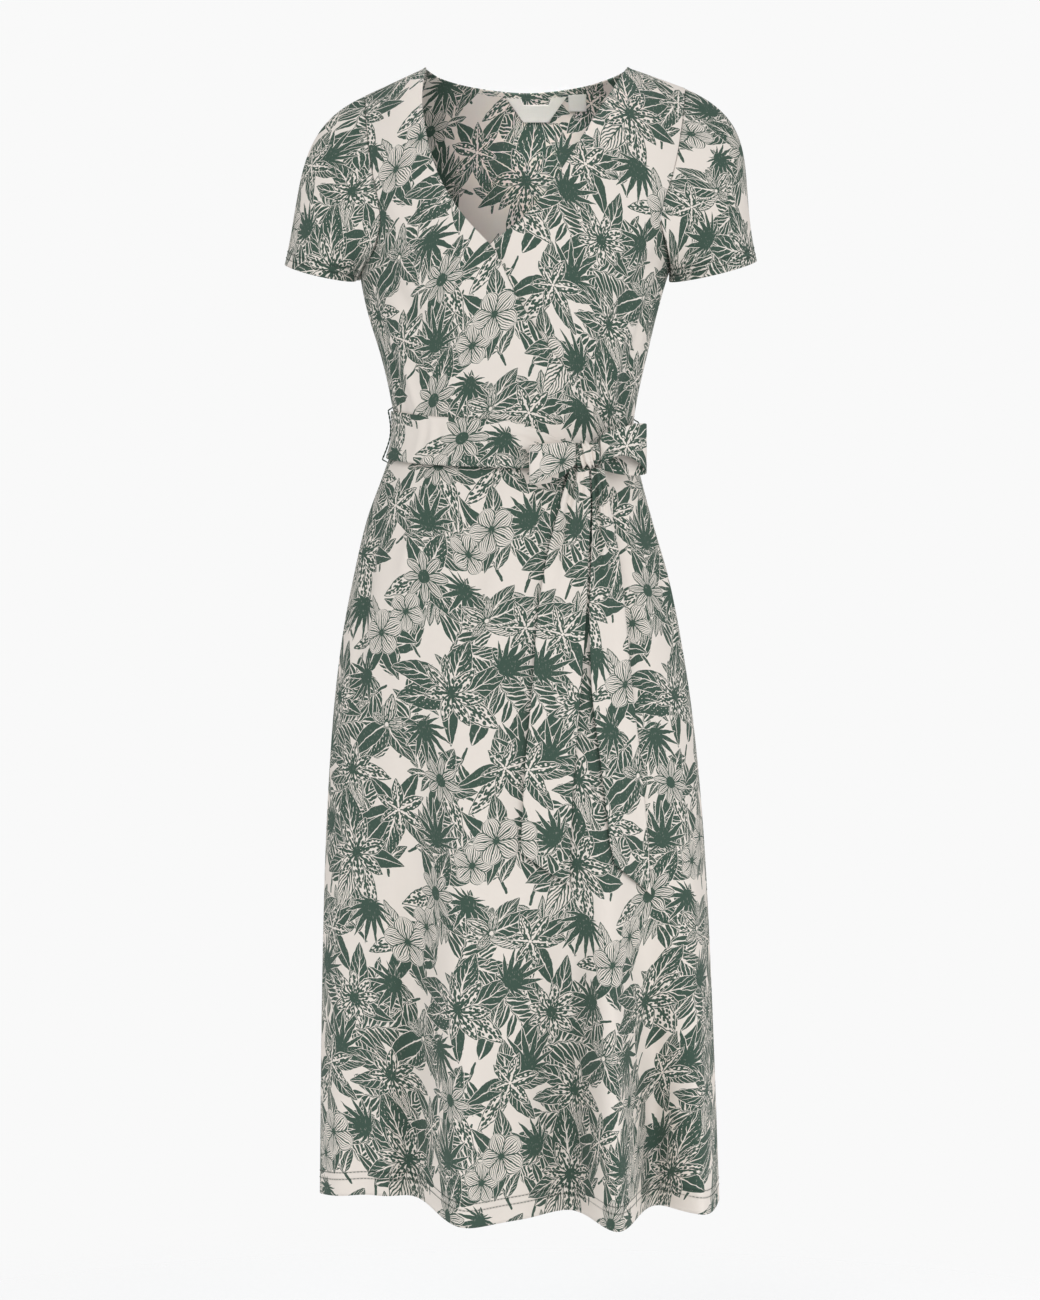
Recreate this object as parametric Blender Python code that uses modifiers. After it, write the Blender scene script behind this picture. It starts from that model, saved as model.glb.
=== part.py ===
"""A printed jersey wrap dress in the form it takes when worn: a V of two crossed fronts, short set-in
sleeves, a closed A-line skirt and a self belt tied in a bow. Metres, +Z up, the front faces -Y and the
wearer's left is +X. The origin is on the line of the shoulders, half way between the two sides."""

import math

import bmesh
import bpy
from mathutils import Vector

for old in list(bpy.data.objects):
    bpy.data.objects.remove(old, do_unlink=True)

# ---------------------------------------------------------------- driving sizes
CLOTH = 0.0015  # single jersey with its turnings
BELT_CLOTH = 0.0020  # the belt is a flat tube, so two layers
LABEL_CLOTH = 0.0008
SEAM = 0.0003  # clear space between two pieces that are sewn together

WAIST_Z = -0.365
HEM_Z = -1.122
NECK_MID = 0.011  # the neck is this far to the wearer's left
NECK_HALF = 0.101
SHOULDER_FALL = (0.465, 0.36)  # drop of the shoulder line for each metre outwards: right, left
NECK_RISE = 0.40  # the same slope carried on over the open neck
SHOULDER_EASE = 0.020  # rounds the top of that slope at the neck's middle
SHOULDER_TOP = 0.002  # height of the shoulder line at the neck's two sides
ROLL = 0.085  # height over which the cloth rounds over the shoulder

WAIST_DIP = 0.010  # the waist seam and the belt sit this much lower at the front
WAIST_TILT = 0.006  # and they fall this much from the middle to the wearer's left
BELT_HIGH = 0.047
WRAP_OUT = 0.0025  # how far the upper front stands off the lower one
BELT_OUT = 0.0052  # outer face of the belt, off the body of the dress
WRAP_TURNS = (-54, 30, 24)  # degrees: where the stand-off starts, how much further back low down, its run
WRAP_LOW = (0.22, 0.12)  # m of cloth below the shoulder: where that starts, its run
WRAP_HIGH = (0.10, 0.08)  # the same for the upper end of the stand-off

KNOT = Vector((0.069, -0.1035, -0.391))
KNOT_HALF = (0.0125, 0.0100, 0.0125)
KNOT_SQUARE = 0.8  # under 1 makes the lump boxier than a ball
KNOT_LEAN = 0.35  # how far its grooves lean across for each metre of height

# Outline of the dress: side points and depths at each height. The wearer's right side is negative.
RINGS = (
    # z, right side, left side, front depth, back depth
    (0.000, -0.168, 0.186, 0.056, 0.063),
    (-0.030, -0.168, 0.186, 0.067, 0.076),
    (-0.060, -0.168, 0.185, 0.081, 0.088),
    (-0.120, -0.167, 0.181, 0.103, 0.103),
    (-0.170, -0.162, 0.167, 0.118, 0.110),
    (-0.200, -0.157, 0.154, 0.122, 0.110),
    (-0.240, -0.149, 0.142, 0.122, 0.106),
    (-0.290, -0.134, 0.130, 0.112, 0.097),
    (-0.330, -0.125, 0.121, 0.102, 0.091),
    (-0.365, -0.1205, 0.117, 0.098, 0.090),
    (-0.400, -0.131, 0.123, 0.101, 0.098),
    (-0.450, -0.149, 0.136, 0.108, 0.111),
    (-0.510, -0.163, 0.153, 0.114, 0.122),
    (-0.570, -0.174, 0.165, 0.118, 0.127),
    (-0.650, -0.183, 0.177, 0.122, 0.130),
    (-0.770, -0.190, 0.188, 0.128, 0.134),
    (-0.930, -0.194, 0.196, 0.138, 0.142),
    (-1.122, -0.196, 0.203, 0.148, 0.150),
)

# Edge of a bodice panel from the shoulder tip round the armhole, then down the side seam.
ARMHOLE = (
    # part of the edge, cloth below the shoulder line, turn on the front, turn on the back (degrees)
    (0.00, 0.0016, 65.0, 115.0),
    (0.08, 0.0600, 63.5, 118.0),
    (0.16, 0.1050, 61.0, 121.0),
    (0.24, 0.1450, 57.5, 123.5),
    (0.31, 0.1760, 55.0, 124.0),
    (0.37, 0.2010, 56.0, 121.5),
    (0.42, 0.2160, 64.0, 113.0),
    (0.46, 0.2250, 76.0, 102.0),
    (0.50, 0.2310, 90.0, 90.0),
)
UNDERARM = 0.50
BACK_SHOULDER = 0.22  # part of the back's top edge that each shoulder seam takes

UPPER_EDGE = (
    # part of the edge, x, z: neckline and wrap edge of the wearer's right front, which lies on top
    (0.0, -0.090, 0.002),
    (0.1, -0.0925, -0.037),
    (0.2, -0.086, -0.082),
    (0.3, -0.072, -0.124),
    (0.4, -0.049, -0.162),
    (0.5, -0.021, -0.195),
    (0.6, -0.005, -0.2285),
    (0.7, 0.014, -0.262),
    (0.8, 0.038, -0.297),
    (0.9, 0.067, -0.331),
    (1.0, 0.098, -0.383),
)
UNDER_EDGE = (
    # part of the edge, x, z: neckline and hidden edge of the wearer's left front
    (0.0, 0.112, 0.002),
    (0.1, 0.090, -0.036),
    (0.2, 0.063, -0.082),
    (0.3, 0.038, -0.124),
    (0.4, 0.008, -0.162),
    (0.5, -0.030, -0.195),
    (0.6, -0.050, -0.2285),
    (0.7, -0.062, -0.262),
    (0.8, -0.072, -0.297),
    (0.9, -0.082, -0.331),
    (1.0, -0.092, -0.374),
)
BACK_NECK = (
    # part of the neckline, x, z
    (0.00, -0.090, 0.002),
    (0.12, -0.073, -0.004),
    (0.30, -0.040, -0.009),
    (0.50, 0.011, -0.012),
    (0.70, 0.062, -0.009),
    (0.88, 0.095, -0.003),
    (1.00, 0.112, 0.002),
)

# Folds of the skirt: each starts at its top and grows to the hem.
FOLD_GROWTH = 1.35  # over 1 keeps a fold shallow for longer
FOLDS = (
    # turn, half width (degrees), push outwards at the hem, height where it starts
    (-46.0, 14.0, -0.026, -0.480),
    (-30.0, 9.0, -0.050, -0.520),
    (-16.0, 10.0, 0.036, -0.560),
    (14.0, 11.0, -0.036, -0.700),
    (26.8, 8.8, 0.070, -0.640),
    (40.0, 8.5, -0.042, -0.740),
    (64.0, 14.0, 0.050, -0.600),
    (112.0, 14.0, 0.024, -0.560),
    (133.0, 11.0, -0.032, -0.700),
    (153.0, 13.0, 0.030, -0.600),
    (178.0, 14.0, -0.034, -0.540),
    (201.0, 12.0, 0.034, -0.680),
    (222.0, 11.0, -0.030, -0.600),
    (246.0, 14.0, 0.026, -0.740),
)
HEM_RISE = (
    # turn, rise of the hem
    (-90.0, 0.000),
    (-60.0, 0.008),
    (-34.0, 0.010),
    (-14.0, -0.003),
    (14.0, 0.002),
    (32.0, -0.004),
    (48.0, 0.001),
    (90.0, -0.006),
    (135.0, 0.003),
    (180.0, 0.005),
    (225.0, 0.004),
    (270.0, 0.000),
)

SLEEVE_HEM = (
    # side (-1 wearer's right), middle x, middle z, half width, half depth, lean, fullness of the cap
    (-1, -0.1955, -0.2025, 0.0365, 0.062, 0.240, 1.25),
    (1, 0.1970, -0.2010, 0.0450, 0.062, 0.245, 1.42),
)

SLEEVE_PITCH = 0.011  # the front of a sleeve hem is this much lower than its middle
SLEEVE_CLEAR = 0.0006  # keeps the sleeve's first ring off the panels' edges
SLEEVE_LEAVE = (0.92, 0.70, -0.40, 0.55)  # its way off the armhole: out, less below; down, more below
ARMHOLE_MIDDLE = (0.150, -0.115)  # x (either side) and z

UPPER_TAIL = (
    # z, middle x, half width: the free end on the wearer's right
    (-0.4038, 0.0612, 0.0088),
    (-0.4400, 0.0575, 0.0150),
    (-0.4900, 0.0500, 0.0200),
    (-0.5500, 0.0440, 0.0232),
    (-0.6200, 0.0390, 0.0235),
    (-0.7000, 0.0320, 0.0235),
    (-0.7900, 0.0275, 0.0235),
)
LOWER_TAIL = (
    # z, middle x, half width: the free end on the wearer's left
    (-0.4038, 0.0785, 0.0060),
    (-0.4400, 0.0830, 0.0090),
    (-0.4900, 0.0870, 0.0140),
    (-0.5500, 0.0890, 0.0180),
    (-0.6200, 0.0935, 0.0200),
    (-0.7000, 0.1030, 0.0195),
    (-0.8010, 0.1130, 0.0180),
)
BELT_TAPER = 0.10  # part of the band's length over which each end narrows into the knot
BELT_PINCH = 0.5  # the band's height at the knot, as a part of its full height
BELT_END_OUT = 0.0034  # the band's ends rise this much more to meet the knot
TAIL_SLANT = 0.032  # the cut end of each tail is this much lower on one side
TAIL_PLEAT = 0.14  # height of the pleats under the knot, for each metre of half width
TAIL_OUT = 0.0050  # outer face of a tail, off the skirt
TAIL_CUT = 0.1  # part of a tail's length over which its slanted end starts
TAIL_PLEATED = 0.45  # part of its length that the pleats reach down
TAIL_DRAWN = 0.12  # part of its length that is drawn out to the knot


# ---------------------------------------------------------------- reading the tables
def read_row(table, key):
    """The other columns at this value of the first one, on a smooth curve through the rows."""
    rows = sorted(table)
    last = len(rows) - 1
    key = min(max(key, rows[0][0]), rows[last][0])
    low = 0
    while low < last - 1 and key > rows[low + 1][0]:
        low += 1
    before, here = rows[max(low - 1, 0)], rows[low]
    there, after = rows[low + 1], rows[min(low + 2, last)]
    span = there[0] - here[0]
    part = (key - here[0]) / span
    square, cube = part * part, part**3
    found = []
    for column in range(1, len(here)):
        rise_here = span * (there[column] - before[column]) / (there[0] - before[0])
        rise_there = span * (after[column] - here[column]) / (after[0] - here[0])
        value = (2 * cube - 3 * square + 1) * here[column] + (3 * square - 2 * cube) * there[column]
        value += (cube - 2 * square + part) * rise_here + (cube - square) * rise_there
        found.append(value)
    return found


def ease(value):
    """0 to 1 with flat ends."""
    value = min(max(value, 0.0), 1.0)
    return value * value * (3 - 2 * value)


# ---------------------------------------------------------------- the form of the worn dress
def shoulder_height(x):
    """Height of the shoulder line over this x."""
    past_neck = math.hypot(x - NECK_MID, SHOULDER_EASE) - math.hypot(NECK_HALF, SHOULDER_EASE)
    if past_neck < 0:
        return SHOULDER_TOP - NECK_RISE * past_neck
    fall = SHOULDER_FALL[0] if x < NECK_MID else SHOULDER_FALL[1]
    return SHOULDER_TOP - fall * past_neck


def waist_height(turn):
    """Height of the waist seam, which is also the middle of the belt."""
    angle = math.radians(turn)
    return WAIST_Z - WAIST_DIP * ease(math.cos(angle)) - WAIST_TILT * (1 + math.sin(angle))


def fold_push(turn, z):
    """How far the skirt's folds stand out at this turn in degrees and this height."""
    push = 0.0
    for middle, half, depth, top in FOLDS:
        apart = (turn - middle + 180) % 360 - 180
        if abs(apart) < 2 * half and z < top:
            grown = ((top - z) / (top - HEM_Z)) ** FOLD_GROWTH
            push += depth * grown * math.cos(math.pi * apart / (4 * half)) ** 4
    return push


def ring_point(turn, z, out=0.0):
    """A point of the dress below the shoulders: turn 0 is centre front, 90 the wearer's left side."""
    right, left, front, back = read_row(RINGS, z)
    middle, half = (left + right) / 2, (left - right) / 2
    angle = math.radians(turn)
    facing = math.cos(angle)
    depth = front if facing > 0 else back
    x, y = middle + half * math.sin(angle), -depth * facing
    if z < WAIST_Z:
        towards = 1 if facing > 0 else -1
        y -= towards * fold_push(turn, z) * ease(4 * abs(facing))
    across = Vector((math.sin(angle) / half, -facing / depth)).normalized()
    return Vector((x + out * across.x, y + out * across.y, z))


def turn_at(x, z, on_back=False):
    """The turn at which the dress has this x."""
    right, left, _front, _back = read_row(RINGS, z)
    part = (x - (left + right) / 2) / ((left - right) / 2)
    turn = math.degrees(math.asin(min(max(part, -1.0), 1.0)))
    return 180 - turn if on_back else turn


def slope_of_drop(drop):
    """Length along the cloth from the shoulder line down to this drop."""
    if drop < ROLL:
        return ROLL * math.acos(max(1 - drop / ROLL, -1.0))
    return drop - ROLL + ROLL * math.pi / 2


def bodice_point(turn, down, out=0.0):
    """A point of the bodice, 'down' metres of cloth below the shoulder line."""
    rolling = min(down / ROLL, math.pi / 2)
    drop = ROLL * (1 - math.cos(rolling)) + max(0.0, down - ROLL * math.pi / 2)
    z = -drop
    for _again in range(6):
        x = ring_point(turn, z).x
        z = shoulder_height(x) - drop
    point = ring_point(turn, z, out * math.sin(rolling))
    return Vector((point.x, point.y * math.sin(rolling), z + out * math.cos(rolling)))


def on_bodice(turn, z):
    """(turn, cloth below the shoulder) of a point given by its turn and height."""
    x = ring_point(turn, z).x
    return turn, slope_of_drop(max(shoulder_height(x) - z, 0.0))


# ---------------------------------------------------------------- edges of the bodice's panels
SEAM_TURN = 0.14  # degrees kept clear at a side seam, each side
SEAM_TOP = ARMHOLE[0][1]  # cloth kept clear at the shoulder seam, each side


def outer_edge(part, side, on_back):
    """Armhole, then side seam: 0 is the shoulder tip and 1 the waist."""
    down, front, back = read_row(ARMHOLE, min(part, UNDERARM))
    turn = side * (back + SEAM_TURN if on_back else front - SEAM_TURN)
    if part > UNDERARM:
        waist_down = on_bodice(turn, waist_height(turn) + SEAM)[1]
        down += (waist_down - down) * (part - UNDERARM) / (1 - UNDERARM)
    return turn, down


def edge_to_waist(table):
    """The same edge with its last row brought onto the waist seam."""
    part, x, z = table[-1]
    for _again in range(4):
        z = waist_height(turn_at(x, z)) + SEAM
    return table[:-1] + ((part, x, z),)


def open_edge(part, table):
    """The neckline and wrap edge of a front, from the shoulder to the waist."""
    x, z = read_row(table, part)
    turn, down = on_bodice(turn_at(x, z), z)
    return turn, max(down, SEAM_TOP)


def straight(first, second, part):
    return tuple(a + (b - a) * part for a, b in zip(first, second))


def fill_patch(u, v, top, bottom, start, end):
    """A point between four edges, each a function of its own part from 0 to 1."""
    ruled = straight(top(u), bottom(u), v)
    sides = straight(start(v), end(v), u)
    corners = straight(straight(top(0), top(1), u), straight(bottom(0), bottom(1), u), v)
    return tuple(a + b - c for a, b, c in zip(ruled, sides, corners))


def waist_row(first, last):
    """An edge just above the waist seam, between two turns."""

    def edge(part):
        turn = first + (last - first) * part
        return on_bodice(turn, waist_height(turn) + SEAM)

    return edge


def wrap_standoff(turn, down):
    """How far the upper front stands off: nothing at its armhole, side seam and shoulder."""
    first, further, run = WRAP_TURNS
    start = first - further * ease((down - WRAP_LOW[0]) / WRAP_LOW[1])
    return WRAP_OUT * ease((turn - start) / run) * ease((down - WRAP_HIGH[0]) / WRAP_HIGH[1])


ROW_CROWDING = 1.35  # over 1 brings the rows closer together near the shoulder


def panel_row(v):
    """Rows lie closer together where the cloth rounds over the shoulder."""
    return UNDERARM * (v / UNDERARM) ** ROW_CROWDING if v < UNDERARM else v


def front_panel(side, table, standoff):
    """Maps u (armhole to open edge) and v (shoulder to waist) onto one front."""
    last_turn = open_edge(1, table)[0]

    def top(part):
        tip, neck = outer_edge(0, side, False)[0], open_edge(0, table)[0]
        return tip + (neck - tip) * part, SEAM_TOP

    bottom = waist_row(side * (90 - SEAM_TURN), last_turn)

    def place(u, v):
        turn, down = fill_patch(
            u,
            panel_row(v),
            top,
            bottom,
            lambda part: outer_edge(part, side, False),
            lambda part: open_edge(part, table),
        )
        return bodice_point(turn, down, standoff(turn, down))

    return place


def back_top(part):
    """Shoulder seam, back neckline, shoulder seam, as the part goes from the wearer's left to right."""
    if part < BACK_SHOULDER:
        tip, neck = outer_edge(0, 1, True)[0], turn_at(BACK_NECK[-1][1], 0, True)
        return tip + (neck - tip) * part / BACK_SHOULDER, SEAM_TOP
    if part > 1 - BACK_SHOULDER:
        tip, neck = 360 + outer_edge(0, -1, True)[0], turn_at(BACK_NECK[0][1], 0, True)
        return tip + (neck - tip) * (1 - part) / BACK_SHOULDER, SEAM_TOP
    x, z = read_row(BACK_NECK, 1 - (part - BACK_SHOULDER) / (1 - 2 * BACK_SHOULDER))
    turn, down = on_bodice(turn_at(x, z, True), z)
    return turn, max(down, SEAM_TOP)


def back_right_edge(part):
    turn, down = outer_edge(part, -1, True)
    return 360 + turn, down


def place_back(u, v):
    turn, down = fill_patch(
        u,
        panel_row(v),
        back_top,
        waist_row(90 + SEAM_TURN, 270 - SEAM_TURN),
        lambda part: outer_edge(part, 1, True),
        back_right_edge,
    )
    return bodice_point(turn, down)


# ---------------------------------------------------------------- sleeves
def armhole_point(part, side):
    """Round the armhole: 0 shoulder tip, 0.25 front, 0.5 underarm, 0.75 back."""
    along = min(part, 1 - part)
    front = bodice_point(*outer_edge(panel_row(along), side, False))
    back = bodice_point(*outer_edge(panel_row(along), side, True))
    if along < 1e-6 or along > UNDERARM - 1e-6:
        return (front + back) / 2
    return front if part < 0.5 else back


def sleeve_place(row):
    side, middle_x, middle_z, half_wide, half_deep, lean, fullness = row
    axis = Vector((side * lean, 0, -1)).normalized()
    outwards = Vector((side, 0, lean)).normalized()
    centre = Vector((middle_x, 0, middle_z))
    middle = Vector((side * ARMHOLE_MIDDLE[0], 0, ARMHOLE_MIDDLE[1]))
    out, less_out, down, more_down = SLEEVE_LEAVE

    def place(u, v):
        start = armhole_point(u, side)
        inwards = (middle - start).normalized()
        start = start + SLEEVE_CLEAR * (inwards + Vector((side, 0, 0)))
        turn = 2 * math.pi * u
        end = centre + half_wide * math.cos(turn) * outwards
        end -= math.sin(turn) * Vector((0, half_deep, SLEEVE_PITCH))
        low = (1 - math.cos(turn)) / 2
        leave = Vector((side * (out - less_out * low), 0, down - more_down * low)).normalized()
        reach = (end - start).length * (fullness + (1 - fullness) * low)
        square, cube = v * v, v**3
        point = (2 * cube - 3 * square + 1) * start + (3 * square - 2 * cube) * end
        point += (cube - 2 * square + v) * reach * leave + (cube - square) * reach * axis
        return point

    return place


# ---------------------------------------------------------------- skirt
def hem_height(turn):
    wrapped = (turn + 90) % 360 - 90
    return HEM_Z + read_row(HEM_RISE, wrapped)[0]


def skirt_place(first, last):
    """u goes round from one side seam to the other, v from the waist to the hem."""

    def place(u, v):
        turn = first + (last - first) * u
        top = waist_height(turn) - SEAM
        z = top + (hem_height(turn) - top) * v
        point = ring_point(turn, max(z, HEM_Z))
        return Vector((point.x, point.y, z))

    return place


# ---------------------------------------------------------------- belt
def belt_place(first, last):
    """A band that narrows into the knot at both ends."""

    def place(u, v):
        turn = first + (last - first) * u
        near = ease(min(u, 1 - u) / BELT_TAPER)
        high = BELT_HIGH * (BELT_PINCH + (1 - BELT_PINCH) * near)
        middle = waist_height(turn)
        middle += (KNOT.z - middle) * (1 - near)
        z = middle + high * (0.5 - v)
        return ring_point(turn, z, BELT_OUT + BELT_END_OUT * (1 - near))

    return place


def tail_place(table):
    """A free end of the belt, laid on the skirt: u across, v down."""

    def place(u, v):
        top, low = table[0][0], table[-1][0]
        level = top + (low - top) * v
        x_mid, half = read_row(table, level)
        across = 2 * u - 1
        x = x_mid + across * half
        z = level - TAIL_SLANT / 2 * across * ease((v - 1 + TAIL_CUT) / TAIL_CUT)
        point = ring_point(turn_at(x, z), z, TAIL_OUT)
        pleats = TAIL_PLEAT * half * (1 - ease(v / TAIL_PLEATED)) * math.cos(2 * math.pi * across)
        fullness = (KNOT.y - point.y) * (1 - ease(v / TAIL_DRAWN))
        return Vector((x, point.y - pleats + fullness, z))

    return place


BOW_LOOPS = (
    # name, side, length, half height at the knot and at the end, rise at the knot and at the end,
    # lean towards the viewer, lift of the front over the back
    ("bow_loop_right", -1, 0.046, 0.0095, 0.0190, 0.000, -0.0115, 0.32, -0.001),
    ("bow_loop_left", 1, 0.053, 0.0135, 0.0235, 0.004, 0.0070, -0.52, 0.004),
)
LOOP_DEEP = 0.0085  # half the space between the front and back of a loop
LOOP_MOUTH = 24.0  # degrees that the two ends of a loop keep apart at the knot
LOOP_WIDENS = 0.6  # under 1 lets a loop reach its full height soon after the knot
LOOP_LIFTS = 0.5  # the same for the lift of its front


def loop_place(side, length, half_near, half_far, rise_near, rise_far, lean, lift):
    """A ribbon that leaves the front of the knot, turns over at its far end and comes back behind."""
    outwards = Vector((side, -lean, 0)).normalized()
    forwards = Vector((-lean * side, -1, 0)).normalized()
    base = KNOT + outwards * (KNOT_HALF[0] + SEAM)

    def place(u, v):
        angle = math.radians(LOOP_MOUTH + (360 - 2 * LOOP_MOUTH) * u)
        away = (1 - math.cos(angle)) / 2
        start = (1 - math.cos(math.radians(LOOP_MOUTH))) / 2
        far = max(0.0, (away - start) / (1 - start))
        high = half_near + (half_far - half_near) * far**LOOP_WIDENS
        branch = math.sin(angle)
        middle = base + outwards * length * far + forwards * LOOP_DEEP * branch
        rise = rise_near + (rise_far - rise_near) * far + lift * branch * far**LOOP_LIFTS
        return middle + Vector((0, 0, rise + high * (1 - 2 * v)))

    return place


# ---------------------------------------------------------------- labels and belt carriers
NECK_LABEL = (
    # part of the height, middle x, half width
    (0.0, 0.0205, 0.0310),
    (1.0, 0.0205, 0.0127),
)
SIZE_LABEL = (
    # part of the height, middle x, half width
    (0.0, 0.0625, 0.0090),
    (1.0, 0.0632, 0.0090),
)
NECK_LABEL_Z = (-0.0155, -0.0388)  # top and bottom
SIZE_LABEL_Z = (-0.0135, -0.0291)
LABEL_CLEAR = 0.0014  # a label hangs this far inside the back
NOTCH_ACROSS = 0.5  # the notch in the top of the neck label, as a part of its width and of its height
NOTCH_DOWN = 2 / 7


def label_place(table, heights):
    """A tab on the inside of the back."""

    def place(u, v):
        middle, half = read_row(table, v)
        x = middle + half * (2 * u - 1)
        z = heights[0] + (heights[1] - heights[0]) * v
        turn, down = on_bodice(turn_at(x, z, True), z)
        return bodice_point(turn, down, -CLOTH - LABEL_CLEAR)

    return place


def outside_notch(u, v):
    return v > NOTCH_DOWN or abs(2 * u - 1) > NOTCH_ACROSS


CARRIER_THICK = 0.0018
CARRIER_LIFT = 0.0013  # its ends lie this far off the cloth
CARRIER_REACH = 0.0045  # how far it runs past the belt's edges
CARRIER_FLAT = 0.0005  # how far past them it still lies at its full height
CARRIER_POINTS = 13


def carrier_route(turn):
    """A thread loop over the belt at a side seam, from the bodice to the skirt."""
    route = []
    half = BELT_HIGH / 2 + CARRIER_REACH
    for step in range(CARRIER_POINTS):
        part = 2 * step / (CARRIER_POINTS - 1) - 1
        past_belt = abs(part) * half - BELT_HIGH / 2
        over = 1 - ease((past_belt - CARRIER_FLAT) / (CARRIER_REACH - CARRIER_FLAT))
        out = CARRIER_THICK / 2 + CARRIER_LIFT + over * BELT_OUT
        route.append(ring_point(turn, waist_height(turn) - part * half, out))
    return route


# ---------------------------------------------------------------- making the objects
ROUGHNESS = 0.85
GREEN_GREY = (0.30, 0.36, 0.31)  # the print's mean colour
CREAM = (0.84, 0.79, 0.72)

dress = bpy.data.collections.new("wrap_dress")
bpy.context.scene.collection.children.link(dress)


def matt_material(name, colour):
    finish = bpy.data.materials.new(name)
    finish.use_nodes = True
    shader = finish.node_tree.nodes["Principled BSDF"]
    shader.inputs["Base Color"].default_value = (*colour, 1)
    shader.inputs["Roughness"].default_value = ROUGHNESS
    shader.inputs["Metallic"].default_value = 0.0
    return finish


def add_object(name, mesh, colour):
    mesh.materials.append(matt_material(name + "_cloth", colour))
    mesh.shade_smooth()
    made = bpy.data.objects.new(name, mesh)
    dress.objects.link(made)
    return made


def add_cloth(name, place, columns, rows, colour, outwards, wall=CLOTH, closed=False, keep=None):
    """A grid whose points are placed by a function of u and v, thickened inwards from its outer face."""
    form = bmesh.new()
    bmesh.ops.create_grid(form, x_segments=columns, y_segments=rows, size=0.5)
    if keep:
        middles = [(face, face.calc_center_median()) for face in form.faces]
        cut = [face for face, middle in middles if not keep(middle.x + 0.5, 0.5 - middle.y)]
        bmesh.ops.delete(form, geom=cut, context="FACES")
    for vertex in form.verts:
        vertex.co = place(vertex.co.x + 0.5, 0.5 - vertex.co.y)
    if closed:
        bmesh.ops.remove_doubles(form, verts=form.verts, dist=1e-6)
    form.normal_update()
    facing = sum(face.normal.dot(outwards(face.calc_center_median())) for face in form.faces)
    if facing < 0:
        bmesh.ops.reverse_faces(form, faces=form.faces)
    mesh = bpy.data.meshes.new(name)
    form.to_mesh(mesh)
    form.free()
    made = add_object(name, mesh, colour)
    thick = made.modifiers.new("wall", "SOLIDIFY")
    thick.thickness = wall
    thick.offset = -1
    return made


UPWARDS = (0.1, 0.3)  # m below the shoulders from which a face may also look up, and how much


def from_axis(point):
    """Away from the middle of the body."""
    return Vector((point.x, point.y, UPWARDS[1] * max(0.0, point.z + UPWARDS[0])))


def towards_viewer(_point):
    return Vector((0, -1, 0))


def towards_neck(_point):
    return Vector((0, 1, 0))


# The two fronts, crossed at the V, and the back.
PANEL_ROWS = 20
upper_front = front_panel(-1, edge_to_waist(UPPER_EDGE), wrap_standoff)
under_front = front_panel(1, edge_to_waist(UNDER_EDGE), lambda turn, down: 0.0)
add_cloth("front_bodice_right", upper_front, 20, PANEL_ROWS, GREEN_GREY, from_axis)
add_cloth("front_bodice_left", under_front, 18, PANEL_ROWS, GREEN_GREY, from_axis)
add_cloth("back_bodice", place_back, 24, PANEL_ROWS, GREEN_GREY, from_axis)

# Sleeves: one tube each, from the armhole to an oval hem.
for hem_row in SLEEVE_HEM:
    side_name = "sleeve_right" if hem_row[0] < 0 else "sleeve_left"
    middle_of_sleeve = Vector((hem_row[1], 0, ARMHOLE_MIDDLE[1]))
    add_cloth(
        side_name,
        sleeve_place(hem_row),
        PANEL_ROWS,
        7,
        GREEN_GREY,
        lambda point, middle=middle_of_sleeve: point - middle,
        closed=True,
    )

# Skirt panels, from side seam to side seam.
add_cloth("skirt_front", skirt_place(-90 + SEAM_TURN, 90 - SEAM_TURN), 48, 12, GREEN_GREY, from_axis)
add_cloth("skirt_back", skirt_place(90 + SEAM_TURN, 270 - SEAM_TURN), 40, 12, GREEN_GREY, from_axis)

# Belt: the band goes from the knot round the back to the knot.
KNOT_TURN = turn_at(KNOT.x, KNOT.z)
BAND_CLEAR = 5.0  # degrees from the knot's middle to the end of the band
add_cloth(
    "belt_band",
    belt_place(KNOT_TURN + BAND_CLEAR, KNOT_TURN + 360 - BAND_CLEAR),
    60,
    4,
    GREEN_GREY,
    from_axis,
    BELT_CLOTH,
)
add_cloth("belt_tail_right", tail_place(UPPER_TAIL), 8, 16, GREEN_GREY, towards_viewer, BELT_CLOTH)
add_cloth("belt_tail_left", tail_place(LOWER_TAIL), 8, 16, GREEN_GREY, towards_viewer, BELT_CLOTH)
for loop_name, *loop_sizes in BOW_LOOPS:
    side, length, lean = loop_sizes[0], loop_sizes[1], loop_sizes[6]
    middle_of_loop = KNOT + Vector((side, -lean, 0)).normalized() * (length / 2 + KNOT_HALF[0])
    add_cloth(
        loop_name,
        loop_place(*loop_sizes),
        26,
        5,
        GREEN_GREY,
        lambda point, middle=middle_of_loop: (point - middle) * Vector((1, 1, 0)),
        BELT_CLOTH,
    )

# Knot: a boxy lump crossed by shallow grooves where the strands turn over each other.
KNOT_GROOVES = (
    # place across the knot, depth as a part of its size, half width
    (0.35, 0.12, 0.22),
    (-0.40, 0.10, 0.20),
)


def knot_point(unit):
    """A point of the knot for a point of the unit ball."""
    across = unit.x + KNOT_LEAN * unit.z
    groove = sum(deep * math.exp(-(((across - at) / half) ** 2)) for at, deep, half in KNOT_GROOVES)
    boxy = Vector(math.copysign(abs(axis) ** KNOT_SQUARE, axis) for axis in unit)
    return KNOT + Vector(half * axis * (1 - groove) for half, axis in zip(KNOT_HALF, boxy))


knot_form = bmesh.new()
bmesh.ops.create_uvsphere(knot_form, u_segments=18, v_segments=10, radius=1.0)
for vertex in knot_form.verts:
    vertex.co = knot_point(vertex.co)
knot_mesh = bpy.data.meshes.new("belt_knot")
knot_form.to_mesh(knot_mesh)
knot_form.free()
add_object("belt_knot", knot_mesh, GREEN_GREY)

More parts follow.
